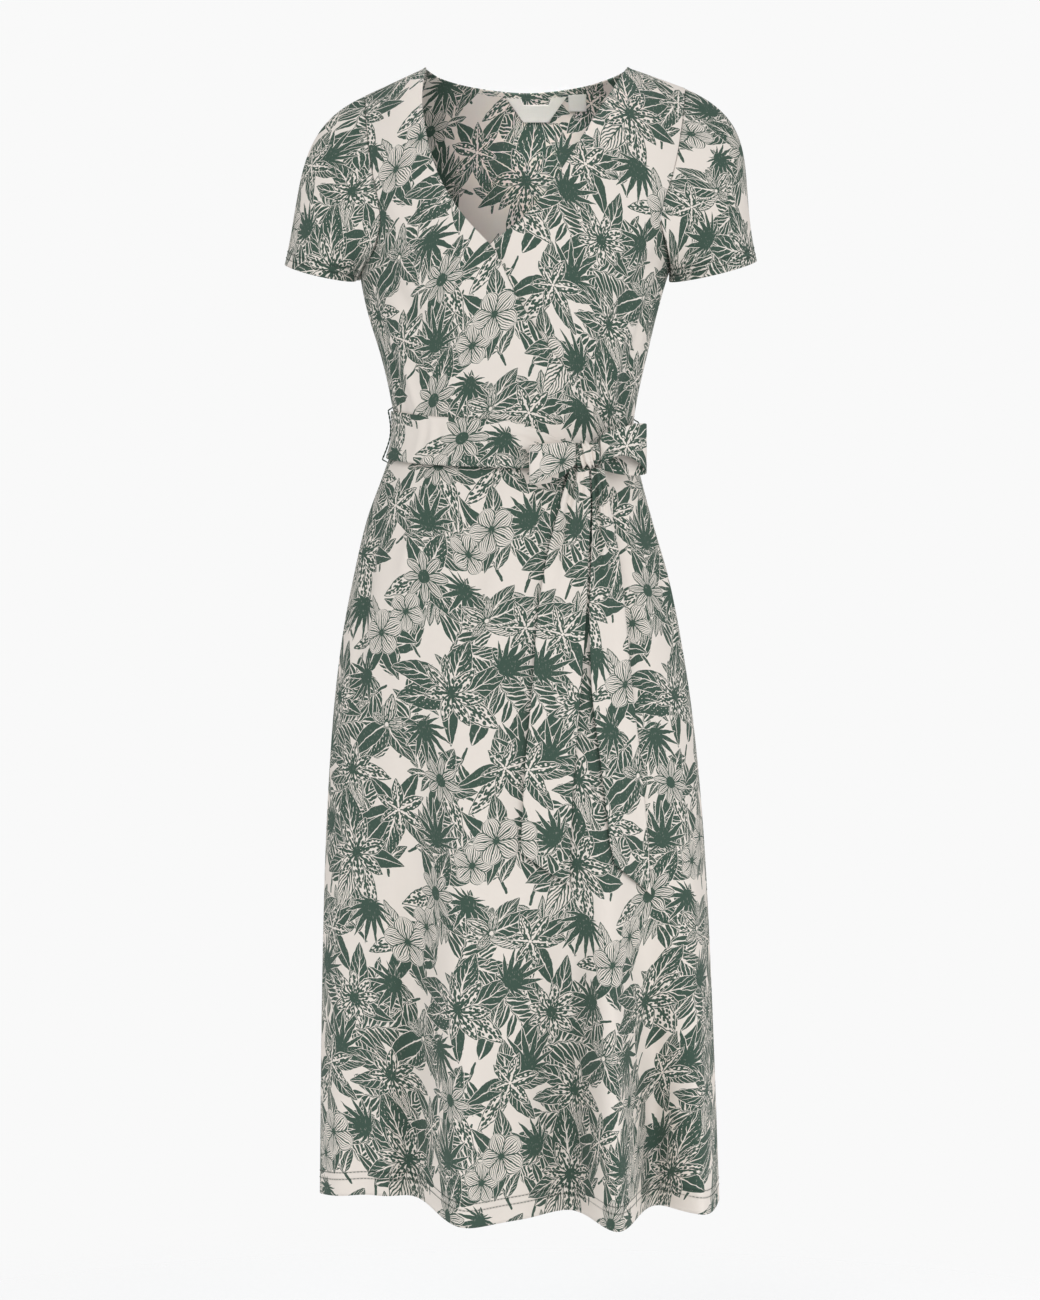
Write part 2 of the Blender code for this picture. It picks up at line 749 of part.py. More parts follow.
# Two bare woven tabs inside the back neck.
add_cloth(
    "neck_label",
    label_place(NECK_LABEL, NECK_LABEL_Z),
    12,
    7,
    CREAM,
    towards_neck,
    LABEL_CLOTH,
    keep=outside_notch,
)
add_cloth(
    "size_label",
    label_place(SIZE_LABEL, SIZE_LABEL_Z),
    4,
    4,
    CREAM,
    towards_neck,
    LABEL_CLOTH,
)

# Thread carriers that hold the belt at the side seams.
for carrier_name, carrier_turn in (("belt_carrier_right", -90), ("belt_carrier_left", 90)):
    line = bpy.data.curves.new(carrier_name, "CURVE")
    line.dimensions = "3D"
    line.bevel_depth = CARRIER_THICK / 2
    line.bevel_resolution = 2
    line.use_fill_caps = True
    route = carrier_route(carrier_turn)
    spline = line.splines.new("POLY")
    spline.points.add(len(route) - 1)
    for knot_of_line, place_of_point in zip(spline.points, route):
        knot_of_line.co = (*place_of_point, 1)
    line.materials.append(matt_material(carrier_name + "_thread", CREAM))
    dress.objects.link(bpy.data.objects.new(carrier_name, line))
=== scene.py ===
import math

import bpy
import numpy as np
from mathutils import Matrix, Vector


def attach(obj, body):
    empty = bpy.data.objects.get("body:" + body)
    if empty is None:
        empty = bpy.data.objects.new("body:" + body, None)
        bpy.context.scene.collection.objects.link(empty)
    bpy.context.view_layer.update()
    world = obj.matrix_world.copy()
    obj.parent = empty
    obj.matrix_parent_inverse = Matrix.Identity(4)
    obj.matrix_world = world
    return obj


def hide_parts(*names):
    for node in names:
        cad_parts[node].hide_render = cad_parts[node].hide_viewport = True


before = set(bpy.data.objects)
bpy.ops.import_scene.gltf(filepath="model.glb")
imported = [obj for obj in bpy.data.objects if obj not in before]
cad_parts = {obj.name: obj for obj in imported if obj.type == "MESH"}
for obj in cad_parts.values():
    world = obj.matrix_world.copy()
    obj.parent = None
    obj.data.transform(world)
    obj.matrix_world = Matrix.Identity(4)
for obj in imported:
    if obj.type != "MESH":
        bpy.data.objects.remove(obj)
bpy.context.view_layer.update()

# ---------------------------------------------------------------- the printed jersey
# Every cloth piece is cut from one viscose single jersey: matt, soft and fluid. It is screen printed in one
# dark green on cream with lilies, hibiscus, palm fans and banana leaves, and the print shows on both sides.
# One motif is a few curved petals round an eye, so each face of the cloth only keeps which motifs touch it.
INK = "44594E"
GROUND = "F0E7DE"
REPEAT = np.array((240, 300))  # mm, one repeat of the print
LAYERS = 9  # motifs that may lie on each other
HALO = 0.6  # mm of bare ground round a motif
RIM = 0.9  # mm, the dark outline inside its edge
WOBBLE = 2.6  # mm, how unevenly the hand-cut edges run
SPOT_PITCH = (4.6, 2.4)  # mm along and across a petal
SPOT_TURN = 7.0  # how far the spots of the next petal are shifted, so that no two look alike
LINE_FADE = (1.4, 0.8)  # how wide its lines start, and how much narrower they end
LINE_DRIFT = 0.22  # how much of the wobble its lines follow
RIB_TAPER = 1.15  # the midrib's width at the eye; it loses 1 towards the tip
PARTING = 0.6  # mm, half the dark line between two petals
SLIT_START = 0.3  # part of the half width at which a slit leaf opens
THINNEST = (0.03, 0.02)  # least length of a shortened petal and least half width that its lines divide
DRIFT_SPAN = 7  # mm, how long the waves of the uneven edges are
WOBBLE_REACH = 0.6 * WOBBLE  # mm, how far an uneven edge may stray
OFF_CLOTH = 99.0  # the place of a motif that isn't there
SLIT_COLUMN = 11  # of a cut's row: a slit leaf shows what lies under it
MOTIF_PARTS = ("petal", "edge", "lines", "fill", "size")  # three values each, in the order of a cut's row
MOTIF_CUTS = {
    # petals, half width, where widest; roundness, shorter behind, eye; dark, lines along, lines across;
    # line share, spots, slit; midrib (mm), dark eye
    "lily": (7, 0.190, 1.05, 0.85, 0.06, 0.06, 0, 0, 1, 0, 0.42, 0, 1.5, 1),
    "hibiscus": (5, 0.420, 1.35, 0.50, 0.06, 0.10, 0, 0, 4.6, 0.38, 0, 0, 0.9, 1),
    "dahlia": (9, 0.190, 1.25, 0.60, 0.05, 0.18, 0, 0, 1, 0, 0.38, 0, 0.9, 1),
    "daisy": (8, 0.200, 1.30, 0.60, 0.06, 0.25, 0, 0, 3, 0.42, 0, 0, 0, 1),
    "bell": (5, 0.230, 1, 0.75, 0.45, 0.07, 0, 0, 3, 0.40, 0.26, 0, 0.9, 0),
    "star": (6, 0.190, 0.95, 0.85, 0.12, 0.05, 1, 0, 1, 0, 0.29, 0, 1.1, 0),
    "palm": (17, 0.076, 0.62, 0.85, 0.46, 0.10, 1, 0, 0, 0, 0, 0, 0, 1),
    "fern": (1, 0.240, 0.75, 0.65, 0, 0, 1, 8, -2.6, 0.32, 0, 1, 0, 1),
    "banana": (1, 0.235, 0.80, 0.75, 0, 0, 1, 7, -2.8, 0.18, 0, 1, 1.2, 1),
    "leaf": (1, 0.190, 0.85, 0.82, 0, 0, 1, 6, -1.8, 0.12, 0, 0, 0.9, 1),
    "plain_leaf": (1, 0.180, 0.80, 0.86, 0, 0, 1, 0, 0, 0, 0, 0, 0.8, 1),
    "hatched_leaf": (1, 0.185, 0.85, 0.80, 0, 0, 0, 9, -3.4, 0.44, 0, 0, 1.2, 1),
    "spotted_leaf": (1, 0.170, 0.90, 0.80, 0, 0, 0, 0, 1.2, 0, 0.42, 0, 1.2, 1),
    "stem": (1, 0.026, 0.60, 0.35, 0, 0, 1, 0, 0, 0, 0, 0, 0, 1),
}
FLOWERS = (
    # kind, x, y (mm), turn, radius, leaves behind it, their length, their first turn, how far they spread;
    # the first row lies on top
    ("lily", 60, 238, 14, 38, 7, 60, 40, 300),
    ("lily", 180, 106, 47, 36, 6, 58, 150, 290),
    ("dahlia", 36, 96, 0, 28, 6, 51, 200, 290),
    ("daisy", 152, 208, 5, 26, 5, 50, 60, 260),
    ("hibiscus", 104, 152, 20, 25, 5, 48, 130, 220),
    ("hibiscus", 222, 266, -35, 25, 5, 48, -80, 220),
    ("hibiscus", 132, 172, 60, 21, 0, 0, 0, 0),
    ("hibiscus", 198, 244, 10, 21, 0, 0, 0, 0),
    ("bell", 108, 62, 75, 31, 4, 50, 190, 160),
    ("bell", 216, 178, 150, 29, 4, 48, 10, 160),
    ("star", 114, 280, 30, 32, 5, 48, 70, 240),
    ("star", 232, 34, 10, 31, 5, 48, 120, 240),
    ("star", 14, 166, 50, 30, 4, 48, 180, 200),
    ("daisy", 166, 18, 40, 23, 5, 44, 240, 240),
    ("lily", 62, 20, 75, 28, 4, 46, 130, 220),
)
LEAF_ORDER = (
    "plain_leaf", "leaf", "plain_leaf", "banana", "hatched_leaf", "plain_leaf", "leaf", "spotted_leaf",
)
LEAF_BEATS = (2.3, 1.7, 3.1)
LEAF_STRAY = (10, 0.14, 0.22)  # how unevenly they grow: turn (degrees), part of the length, curl
PALMS = (
    # kind, x, y, turn, radius, how far its fingers curl
    ("palm", 158, 256, 95, 42, 0.10),
    ("palm", 72, 188, 250, 42, -0.10),
    ("palm", 146, 66, 300, 40, 0.10),
    ("palm", 12, 44, 100, 42, 0.12),
    ("palm", 232, 128, 40, 40, -0.10),
    ("palm", 88, 112, 200, 38, 0.10),
    ("palm", 196, 212, 240, 36, 0.10),
    ("palm", 24, 268, 150, 38, -0.10),
)
SPRIG_SPAN = (0.22, 0.96)  # parts of the stem at its first and last leaf
SPRIG_LEAN = (52, 10)  # degrees between a leaf and the stem, and how much less that is at the tip
SPRIG_LEAF = (0.25, 0.15)  # how much shorter its last leaf is, and how far each one curls
SPRIGS = (
    # kind of its leaves, x, y where its stem starts, turn, length, curl, pairs of leaves, their length
    ("leaf", 96, 214, 90, 62, 0.25, 4, 30),
    ("plain_leaf", 14, 200, 75, 66, -0.25, 4, 31),
    ("plain_leaf", 196, 58, 250, 60, -0.25, 4, 29),
    ("plain_leaf", 176, 136, 60, 66, 0.25, 4, 31),
    ("leaf", 160, 226, 60, 66, -0.25, 4, 30),
    ("hatched_leaf", 60, 150, 120, 60, 0.30, 4, 29),
    ("plain_leaf", 130, 84, 40, 60, -0.30, 4, 30),
    ("leaf", 224, 80, 120, 62, 0.25, 4, 29),
    ("leaf", 232, 214, 110, 60, 0.25, 4, 29),
    ("plain_leaf", 20, 60, 20, 58, -0.25, 4, 30),
    ("plain_leaf", 84, 284, 150, 60, 0.25, 4, 30),
    ("leaf", 206, 4, 150, 60, 0.30, 4, 29),
    ("plain_leaf", 110, 100, 200, 60, 0.30, 4, 30),
    ("hatched_leaf", 190, 196, 190, 58, 0.30, 4, 29),
    ("plain_leaf", 120, 30, 60, 60, 0.30, 4, 30),
    ("plain_leaf", 60, 60, 100, 56, -0.30, 4, 29),
    ("plain_leaf", 148, 130, 130, 56, -0.30, 4, 30),
    ("leaf", 118, 240, 30, 56, 0.30, 4, 30),
    ("plain_leaf", 220, 140, 280, 56, 0.30, 4, 30),
    ("plain_leaf", 190, 300, 250, 56, -0.30, 4, 29),
)
FRONDS = (
    # kind, x, y, turn, length, how far it curls
    ("fern", 120, 110, 110, 56, 0.20),
    ("fern", 232, 124, 245, 54, -0.20),
    ("fern", 6, 236, 60, 54, 0.20),
    ("fern", 200, 150, 60, 54, 0.20),
    ("fern", 90, 30, 60, 54, 0.20),
    ("fern", 60, 270, 60, 54, -0.20),
    ("banana", 90, 110, 275, 56, -0.15),
    ("banana", 196, 150, 330, 54, 0.20),
    ("banana", 140, 22, 100, 54, -0.20),
    ("banana", 150, 240, 340, 52, 0.20),
    ("banana", 30, 70, 300, 54, 0.20),
    ("banana", 60, 170, 110, 52, 0.20),
    ("plain_leaf", 60, 176, 150, 50, 0.15),
    ("plain_leaf", 150, 150, 210, 48, -0.15),
    ("plain_leaf", 200, 60, 60, 50, 0.15),
    ("leaf", 20, 20, 330, 50, 0.15),
    ("leaf", 170, 180, 20, 50, 0.15),
)


def hex_colour(code):
    """sRGB hex to linear RGBA."""
    levels = [int(code[place : place + 2], 16) / 255 for place in (0, 2, 4)]
    levels = [level / 12.92 if level < 0.04045 else ((level + 0.055) / 1.055) ** 2.4 for level in levels]
    return (*levels, 1.0)


def first_output(node):
    return next(output for output in node.outputs if output.enabled)


def add(tree, kind, *inputs, **settings):
    """Adds one node; a kind in capitals is the operation of a Math node. Each input is a value, a socket,
    a node whose first output is meant, or None."""
    if kind.isupper():
        kind, settings["operation"] = "ShaderNodeMath", kind
    node = tree.nodes.new(kind)
    for name, value in settings.items():
        setattr(node, name, value)
    for socket, given in zip([socket for socket in node.inputs if socket.enabled], inputs):
        if isinstance(given, bpy.types.Node):
            given = first_output(given)
        if isinstance(given, bpy.types.NodeSocket):
            tree.links.new(given, socket)
        elif given is not None:
            socket.default_value = given
    return node


def ring_leaves():
    """The leaves that spread out from behind each flower."""
    rows = []
    for number, (_kind, x, y, _turn, _radius, count, length, first, spread) in enumerate(FLOWERS):
        for leaf in range(count):
            kind = LEAF_ORDER[(number + (3 - number % 2) * leaf) % len(LEAF_ORDER)]
            stray = [size * math.sin(beat * leaf + number) for size, beat in zip(LEAF_STRAY, LEAF_BEATS)]
            turn = first + spread * leaf / (count - 1) + stray[0]
            rows.append((kind, x, y, turn, length * (1 + stray[1]), stray[2]))
    return rows


def sprig_leaves():
    """Curled stems with a leaf on each side in turn and one at the tip."""
    rows = []
    for kind, x, y, turn, length, curl, pairs, leaf_long in SPRIGS:
        cosine, sine = math.cos(math.radians(turn)), math.sin(math.radians(turn))
        for step in range(2 * pairs + 1):
            side = 0 if step == 2 * pairs else (1 if step % 2 else -1)
            part = SPRIG_SPAN[0] + (SPRIG_SPAN[1] - SPRIG_SPAN[0]) * step / (2 * pairs)
            along, aside = part * length, curl * part**2 * length
            lean = math.degrees(math.atan(2 * curl * part)) + side * (SPRIG_LEAN[0] - SPRIG_LEAN[1] * part)
            rows.append((
                kind, x + cosine * along - sine * aside, y + sine * along + cosine * aside, turn + lean,
                leaf_long * (1 - SPRIG_LEAF[0] * part), SPRIG_LEAF[1] * side,
            ))
        rows.append(("stem", x, y, turn, length, curl))
    return rows


def motif_list():
    """Every motif of one repeat, the topmost first: kind, x, y, turn, radius, curl."""
    flowers = [row[:5] + (0.0,) for row in FLOWERS]
    return flowers + list(PALMS) + ring_leaves() + sprig_leaves() + list(FRONDS)


def motif_depth(kind, x, y, radius, curl):
    """How deep inside the motif's edge these points lie, in mm; outside it is negative."""
    petals, half, widest, roundness, behind, eye = MOTIF_CUTS[kind][:6]
    away = np.hypot(x, y) / radius
    angle = np.arctan2(y, x)
    sector = 2 * math.pi / petals
    own = sector * np.round(angle / sector)
    reach = away / np.maximum(1 + behind * (np.cos(own) - 1), THINNEST[0])
    along = reach * np.cos(angle - own)
    sway = curl * (np.sin(own) + (petals == 1))
    off = np.abs(reach * np.sin(angle - own) - sway * along**2)
    run = np.clip(along, 0, 1)
    edge = half * np.maximum(np.sin(math.pi * run**widest), 0) ** roundness
    return radius * np.maximum(edge - off - np.abs(along - run), eye - away)


MOTIFS = motif_list()
KINDS = list(MOTIF_CUTS)
CLOTH_STEP = np.array([(a, b) for b in (0, 0.5, 1) for a in (0, 0.5, 1)])  # nine points of a face


def stamp_print(piece, shift=(0, 0)):
    """Keeps on each face the topmost motifs that touch it: their cut, and x, y and curl at its corners."""
    mesh = piece.data
    flat = np.empty(len(mesh.loops) * 2)
    mesh.uv_layers["cloth"].data.foreach_get("uv", flat)
    corners = flat.reshape(-1, 4, 2) * 1000 + np.array(shift)
    middle = corners.mean(axis=1)
    a, b = CLOTH_STEP[:, 0], CLOTH_STEP[:, 1]
    weights = np.stack(((1 - a) * (1 - b), a * (1 - b), a * b, (1 - a) * b), axis=1)
    spread = np.hypot(*(corners - middle[:, None]).max(axis=1).T)
    count = np.zeros(len(middle), dtype=int)
    covered = np.zeros(len(middle), dtype=bool)
    places = np.full((LAYERS, len(middle), 4, 2), OFF_CLOTH)
    curls = np.zeros((LAYERS, len(middle)))
    kinds = np.zeros((LAYERS, len(middle)), dtype=int)
    sizes = np.ones((LAYERS, len(middle)))
    for kind, x, y, turn, radius, curl in MOTIFS:
        offset = (middle - (x, y) + REPEAT / 2) % REPEAT - REPEAT / 2
        near = np.hypot(*offset.T) < radius * math.hypot(1, curl) + spread + WOBBLE
        near = np.flatnonzero(near & ~covered & (count < LAYERS))
        local = corners[near] - middle[near, None] + offset[near, None]
        cosine, sine = math.cos(math.radians(turn)), math.sin(math.radians(turn))
        x_turned = cosine * local[..., 0] + sine * local[..., 1]
        local = np.stack((x_turned, cosine * local[..., 1] - sine * local[..., 0]), axis=-1)
        sampled = np.einsum("sc,fcd->fsd", weights, local)
        depth = motif_depth(kind, sampled[..., 0], sampled[..., 1], radius, curl)
        touches = depth.max(axis=1) > -(HALO + WOBBLE_REACH)
        chosen = near[touches]
        places[count[chosen], chosen] = local[touches] / radius
        kinds[count[chosen], chosen] = KINDS.index(kind)
        sizes[count[chosen], chosen] = radius
        curls[count[chosen], chosen] = curl
        count[chosen] += 1
        whole = depth.min(axis=1) > WOBBLE_REACH
        if not MOTIF_CUTS[kind][SLIT_COLUMN]:
            covered[near[whole]] = True
    cuts = np.array(list(MOTIF_CUTS.values()), dtype=float)

    def keep(name, domain, values):
        mesh.attributes.new(name, "FLOAT_VECTOR", domain).data.foreach_set("vector", values.ravel())

    for layer in range(LAYERS):
        values = np.column_stack((cuts[kinds[layer]], sizes[layer])).reshape(-1, len(MOTIF_PARTS), 3)
        for number, name in enumerate(MOTIF_PARTS):
            keep(f"{name}_{layer}", "FACE", values[:, number])
        own_curl = np.repeat(curls[layer], 4).reshape(-1, 4, 1)
        keep(f"place_{layer}", "CORNER", np.concatenate((places[layer], own_curl), axis=-1))


VECTOR, SPLIT, JOIN = "ShaderNodeVectorMath", "ShaderNodeSeparateXYZ", "ShaderNodeCombineXYZ"


def motif_nodes():
    """One motif: folds the plane into one petal, cuts its outline and draws its lines, spots and midrib."""
    tree = bpy.data.node_groups.new("printed_motif", "ShaderNodeTree")
    for name in ("place", "wobble", *MOTIF_PARTS):
        tree.interface.new_socket(name, in_out="INPUT", socket_type="NodeSocketVector")
    for name in ("tone", "mask"):
        tree.interface.new_socket(name, in_out="OUTPUT", socket_type="NodeSocketFloat")
    given = add(tree, "NodeGroupInput").outputs
    petals, half, widest = add(tree, SPLIT, given["petal"]).outputs
    roundness, behind, eye = add(tree, SPLIT, given["edge"]).outputs
    dark, lines_along, lines_across = add(tree, SPLIT, given["lines"]).outputs
    line_share, spots, slit = add(tree, SPLIT, given["fill"]).outputs
    midrib, dark_eye, radius = add(tree, SPLIT, given["size"]).outputs

    each_mm = add(tree, "DIVIDE", 1.0, radius)
    nudge = add(tree, VECTOR, given["wobble"], each_mm, operation="SCALE")
    point = add(tree, VECTOR, given["place"], nudge, operation="ADD")
    x, y, curl = add(tree, SPLIT, point).outputs
    away = add(tree, VECTOR, add(tree, JOIN, x, y), operation="LENGTH")
    angle = add(tree, "ARCTAN2", y, x)
    half_sector = add(tree, "DIVIDE", math.pi, petals)
    other_half = add(tree, "MULTIPLY", half_sector, -1.0)
    turned = add(tree, "WRAP", angle, half_sector, other_half)
    own = add(tree, "SUBTRACT", angle, turned)
    facing = add(tree, "SUBTRACT", add(tree, "COSINE", own), 1.0)
    length = add(tree, "MULTIPLY_ADD", facing, behind, 1.0)
    length = add(tree, "MAXIMUM", length, THINNEST[0])
    reach = add(tree, "DIVIDE", away, length)
    along = add(tree, "MULTIPLY", reach, add(tree, "COSINE", turned))
    aside = add(tree, "MULTIPLY", reach, add(tree, "SINE", turned))
    alone = add(tree, "LESS_THAN", petals, 1.5)
    sway = add(tree, "ADD", add(tree, "SINE", own), alone)
    sway = add(tree, "MULTIPLY", add(tree, "MULTIPLY", sway, curl), along)
    sway = add(tree, "MULTIPLY", sway, along)
    aside = add(tree, "SUBTRACT", aside, sway)
    off = add(tree, "ABSOLUTE", aside)
    run = add(tree, "ADD", along, 0.0, use_clamp=True)
    spill = add(tree, "ABSOLUTE", add(tree, "SUBTRACT", along, run))
    wave = add(tree, "MULTIPLY", add(tree, "POWER", run, widest), math.pi)
    wave = add(tree, "MAXIMUM", add(tree, "SINE", wave), 0.0)
    edge = add(tree, "MULTIPLY", add(tree, "POWER", wave, roundness), half)
    inside = add(tree, "SUBTRACT", add(tree, "SUBTRACT", edge, off), spill)
    inside = add(tree, "MULTIPLY", inside, radius)
    in_eye = add(tree, "MULTIPLY", add(tree, "SUBTRACT", eye, away), radius)
    depth = add(tree, "MAXIMUM", inside, in_eye)

    share = add(tree, "DIVIDE", off, add(tree, "MAXIMUM", edge, THINNEST[1]))
    phase = add(tree, "MULTIPLY", share, lines_across)
    phase = add(tree, "MULTIPLY_ADD", run, lines_along, phase)
    phase = add(tree, "MULTIPLY_ADD", add(tree, SPLIT, given["wobble"]), LINE_DRIFT, phase)
    width = add(tree, "MULTIPLY_ADD", run, -LINE_FADE[1], LINE_FADE[0])
    width = add(tree, "MULTIPLY", width, line_share)
    lines = add(tree, "LESS_THAN", add(tree, "FRACT", phase), width)
    spot_x = add(tree, "MULTIPLY", along, radius)
    spot_x = add(tree, "DIVIDE", spot_x, SPOT_PITCH[0])
    spot_x = add(tree, "MULTIPLY_ADD", own, SPOT_TURN, spot_x)
    spot_y = add(tree, "MULTIPLY", aside, radius)
    spot_y = add(tree, "DIVIDE", spot_y, SPOT_PITCH[1])
    cell = add(tree, JOIN, spot_x, spot_y)
    dots = add(tree, "ShaderNodeTexVoronoi", cell, 1.0, voronoi_dimensions="2D")
    dots = add(tree, "LESS_THAN", dots.outputs["Distance"], spots)
    rib = add(tree, "MULTIPLY", add(tree, "SUBTRACT", RIB_TAPER, run), midrib)
    rib = add(tree, "LESS_THAN", add(tree, "MULTIPLY", off, radius), rib)
    marks = add(tree, "MAXIMUM", add(tree, "MAXIMUM", lines, dots), rib)
    tone = add(tree, "ABSOLUTE", add(tree, "SUBTRACT", dark, marks))
    rim = add(tree, "LESS_THAN", inside, RIM)
    border = add(tree, "SUBTRACT", half_sector, add(tree, "ABSOLUTE", turned))
    border = add(tree, "MULTIPLY", add(tree, "MULTIPLY", border, away), radius)
    border = add(tree, "LESS_THAN", border, PARTING)
    tone = add(tree, "MAXIMUM", add(tree, "MAXIMUM", tone, rim), border)
    eye_mask = add(tree, "GREATER_THAN", in_eye, 0.0)
    tone = add(tree, "MULTIPLY_ADD", eye_mask, add(tree, "SUBTRACT", dark_eye, tone), tone)
    outer = add(tree, "GREATER_THAN", share, SLIT_START)
    gap = add(tree, "MULTIPLY", add(tree, "MULTIPLY", lines, slit), outer)
    kept = add(tree, "SUBTRACT", 1.0, gap)
    solid = add(tree, "GREATER_THAN", depth, 0.0)
    tone = add(tree, "MULTIPLY", add(tree, "MULTIPLY", tone, solid), kept)
    mask = add(tree, "MULTIPLY", add(tree, "GREATER_THAN", depth, -HALO), kept)
    add(tree, "NodeGroupOutput", tone, mask)
    return tree


def new_material(name, **constants):
    """A Principled material with these constant values; returns it and its shader."""
    made = bpy.data.materials.new(name)
    made.use_nodes = True
    shader = made.node_tree.nodes["Principled BSDF"]
    for socket, value in constants.items():
        shader.inputs[socket.replace("_", " ")].default_value = value
    return made, shader


# Single jersey has no gloss: short fibres stand off it, so it looks soft and a little pale at grazing angles.
# Its real wales are 0.7 mm apart; they are drawn at 1.6 mm so that they still show at this distance.
WALE, COURSE = 1.6, 1.2  # mm
FLECK_GRAIN = (0.75, 0.28, 0)  # per mm: thin spots in the ink, drawn out along the wales
FLECK_RANGE = (0.62, 0.70)  # how high the noise is where a thin spot begins and where it is full
FLECK_INK = 0.75  # how much of the ink is left there
NEEDLE_ROWS = (7.0, 13.5)  # mm up from a hem, where the twin needle pulls the cloth in
NEEDLE_HALF = 1.3  # mm, half the width of that line
NEEDLE_PAINTED_SHADE = 0.16  # how much darker the cloth's colour is painted in it: painted shade in that groove
jersey, jersey_shader = new_material(
    "viscose_single_jersey", Roughness=0.88, Specular_IOR_Level=0.14, Sheen_Weight=0.06, Sheen_Roughness=0.6
)
cloth = jersey.node_tree
uv = add(cloth, "ShaderNodeUVMap", uv_map="cloth")
flat_mm = add(cloth, VECTOR, uv, 1000.0, operation="SCALE")
drift = add(cloth, VECTOR, flat_mm, 1 / DRIFT_SPAN, operation="SCALE")
drift = add(cloth, "ShaderNodeTexNoise", drift, 1.0, 1.5)
drift = add(cloth, VECTOR, drift.outputs["Color"], (-0.5, -0.5, -0.5), operation="ADD")
drift = add(cloth, VECTOR, drift, (WOBBLE, WOBBLE, 0), operation="MULTIPLY")
motif_tree = motif_nodes()
tone = 0.0
for layer in reversed(range(LAYERS)):
    motif = add(cloth, "ShaderNodeGroup", node_tree=motif_tree)
    cloth.links.new(drift.outputs[0], motif.inputs["wobble"])
    for name in ("place", *MOTIF_PARTS):
        kept = add(cloth, "ShaderNodeAttribute", attribute_name=f"{name}_{layer}")
        cloth.links.new(kept.outputs["Vector"], motif.inputs[name])
    rise = add(cloth, "SUBTRACT", motif.outputs["tone"], tone)
    tone = add(cloth, "MULTIPLY_ADD", rise, motif.outputs["mask"], tone)
fleck = add(cloth, VECTOR, flat_mm, FLECK_GRAIN, operation="MULTIPLY")
fleck = add(cloth, "ShaderNodeTexNoise", fleck, 1.0, 2.0)
fleck = add(cloth, "ShaderNodeMapRange", fleck, *FLECK_RANGE, 1.0, FLECK_INK)
tone = add(cloth, "MULTIPLY", tone, fleck)
ink = add(cloth, "ShaderNodeMix", tone, hex_colour(GROUND), hex_colour(INK), data_type="RGBA")
across, down, _z = add(cloth, SPLIT, flat_mm).outputs
# Painted shade: along the twin-needle rows the base colour is darkened where the groove lies, beside the bump
# that dents it.
from_rows = add(cloth, "ABSOLUTE", add(cloth, "SUBTRACT", down, sum(NEEDLE_ROWS) / 2))
from_rows = add(cloth, "ABSOLUTE", add(cloth, "SUBTRACT", from_rows, (NEEDLE_ROWS[1] - NEEDLE_ROWS[0]) / 2))
pulled = add(cloth, "ShaderNodeMapRange", from_rows, 0.0, NEEDLE_HALF, interpolation_type="SMOOTHSTEP")
groove_painted_shade = add(cloth, "MULTIPLY_ADD", pulled, NEEDLE_PAINTED_SHADE, 1 - NEEDLE_PAINTED_SHADE)
groove_painted_shade = add(cloth, VECTOR, first_output(ink), groove_painted_shade, operation="SCALE")
cloth.links.new(first_output(groove_painted_shade), jersey_shader.inputs["Base Color"])
wale = add(cloth, "FRACT", add(cloth, "DIVIDE", across, WALE))
slope = add(cloth, "ABSOLUTE", add(cloth, "SUBTRACT", wale, 0.5))
course = add(cloth, "ADD", add(cloth, "DIVIDE", down, COURSE), slope)
loops = add(cloth, "SINE", add(cloth, "MULTIPLY", course, 2 * math.pi))
bump = add(cloth, "ShaderNodeBump", 0.35, 0.0003, None, loops)
bump = add(cloth, "ShaderNodeBump", 0.8, 0.0006, None, pulled, bump)
cloth.links.new(bump.outputs["Normal"], jersey_shader.inputs["Normal"])

# ---------------------------------------------------------------- bodice: the two crossed fronts
# The wearer's right front lies on top and runs from the shoulder to the belt on the left hip; the left front
# goes under it. Both are single cloth with a narrow turned neck edge, and round over the shoulder line.
# Sizes are in metres. A turn is in degrees: 0 is centre front and 90 the wearer's left side.
CLOTH = 0.0015
SEAM = 0.0003  # between two pieces that are sewn together
WAIST_Z = -0.365
HEM_Z = -1.122
NECK_MID = 0.011
NECK_HALF = 0.101
SHOULDER_FALL = (0.465, 0.36)  # slope of the right shoulder and of the left one
NECK_RISE = 0.40  # the same inside the neckline
SHOULDER_EASE = 0.020  # how round the two slopes meet in the middle
SHOULDER_TOP = 0.002  # height of the shoulder seam at the neck
ROLL = 0.085  # radius at which the cloth rounds over the shoulder
WAIST_DIP = 0.010  # how much lower the waist is in front
WAIST_TILT = 0.006  # half of how much lower it is at the wearer's left than at the right
WRAP_OUT = 0.0025  # how far the upper front stands off the under one
WRAP_START = (-54, -84, 0.22, 0.34)  # the turn where that starts: the first above, then the second, at depths
WRAP_SPAN = 24  # degrees over which it grows
WRAP_TOP = (0.10, 0.18)  # depths of cloth between which it grows
TURNED = 0.0006  # how much thicker the turned edge is
TURNED_WIDE = 0.035  # its width as a part of the panel's, and that of the step up to it
TURNED_STEP = 0.01
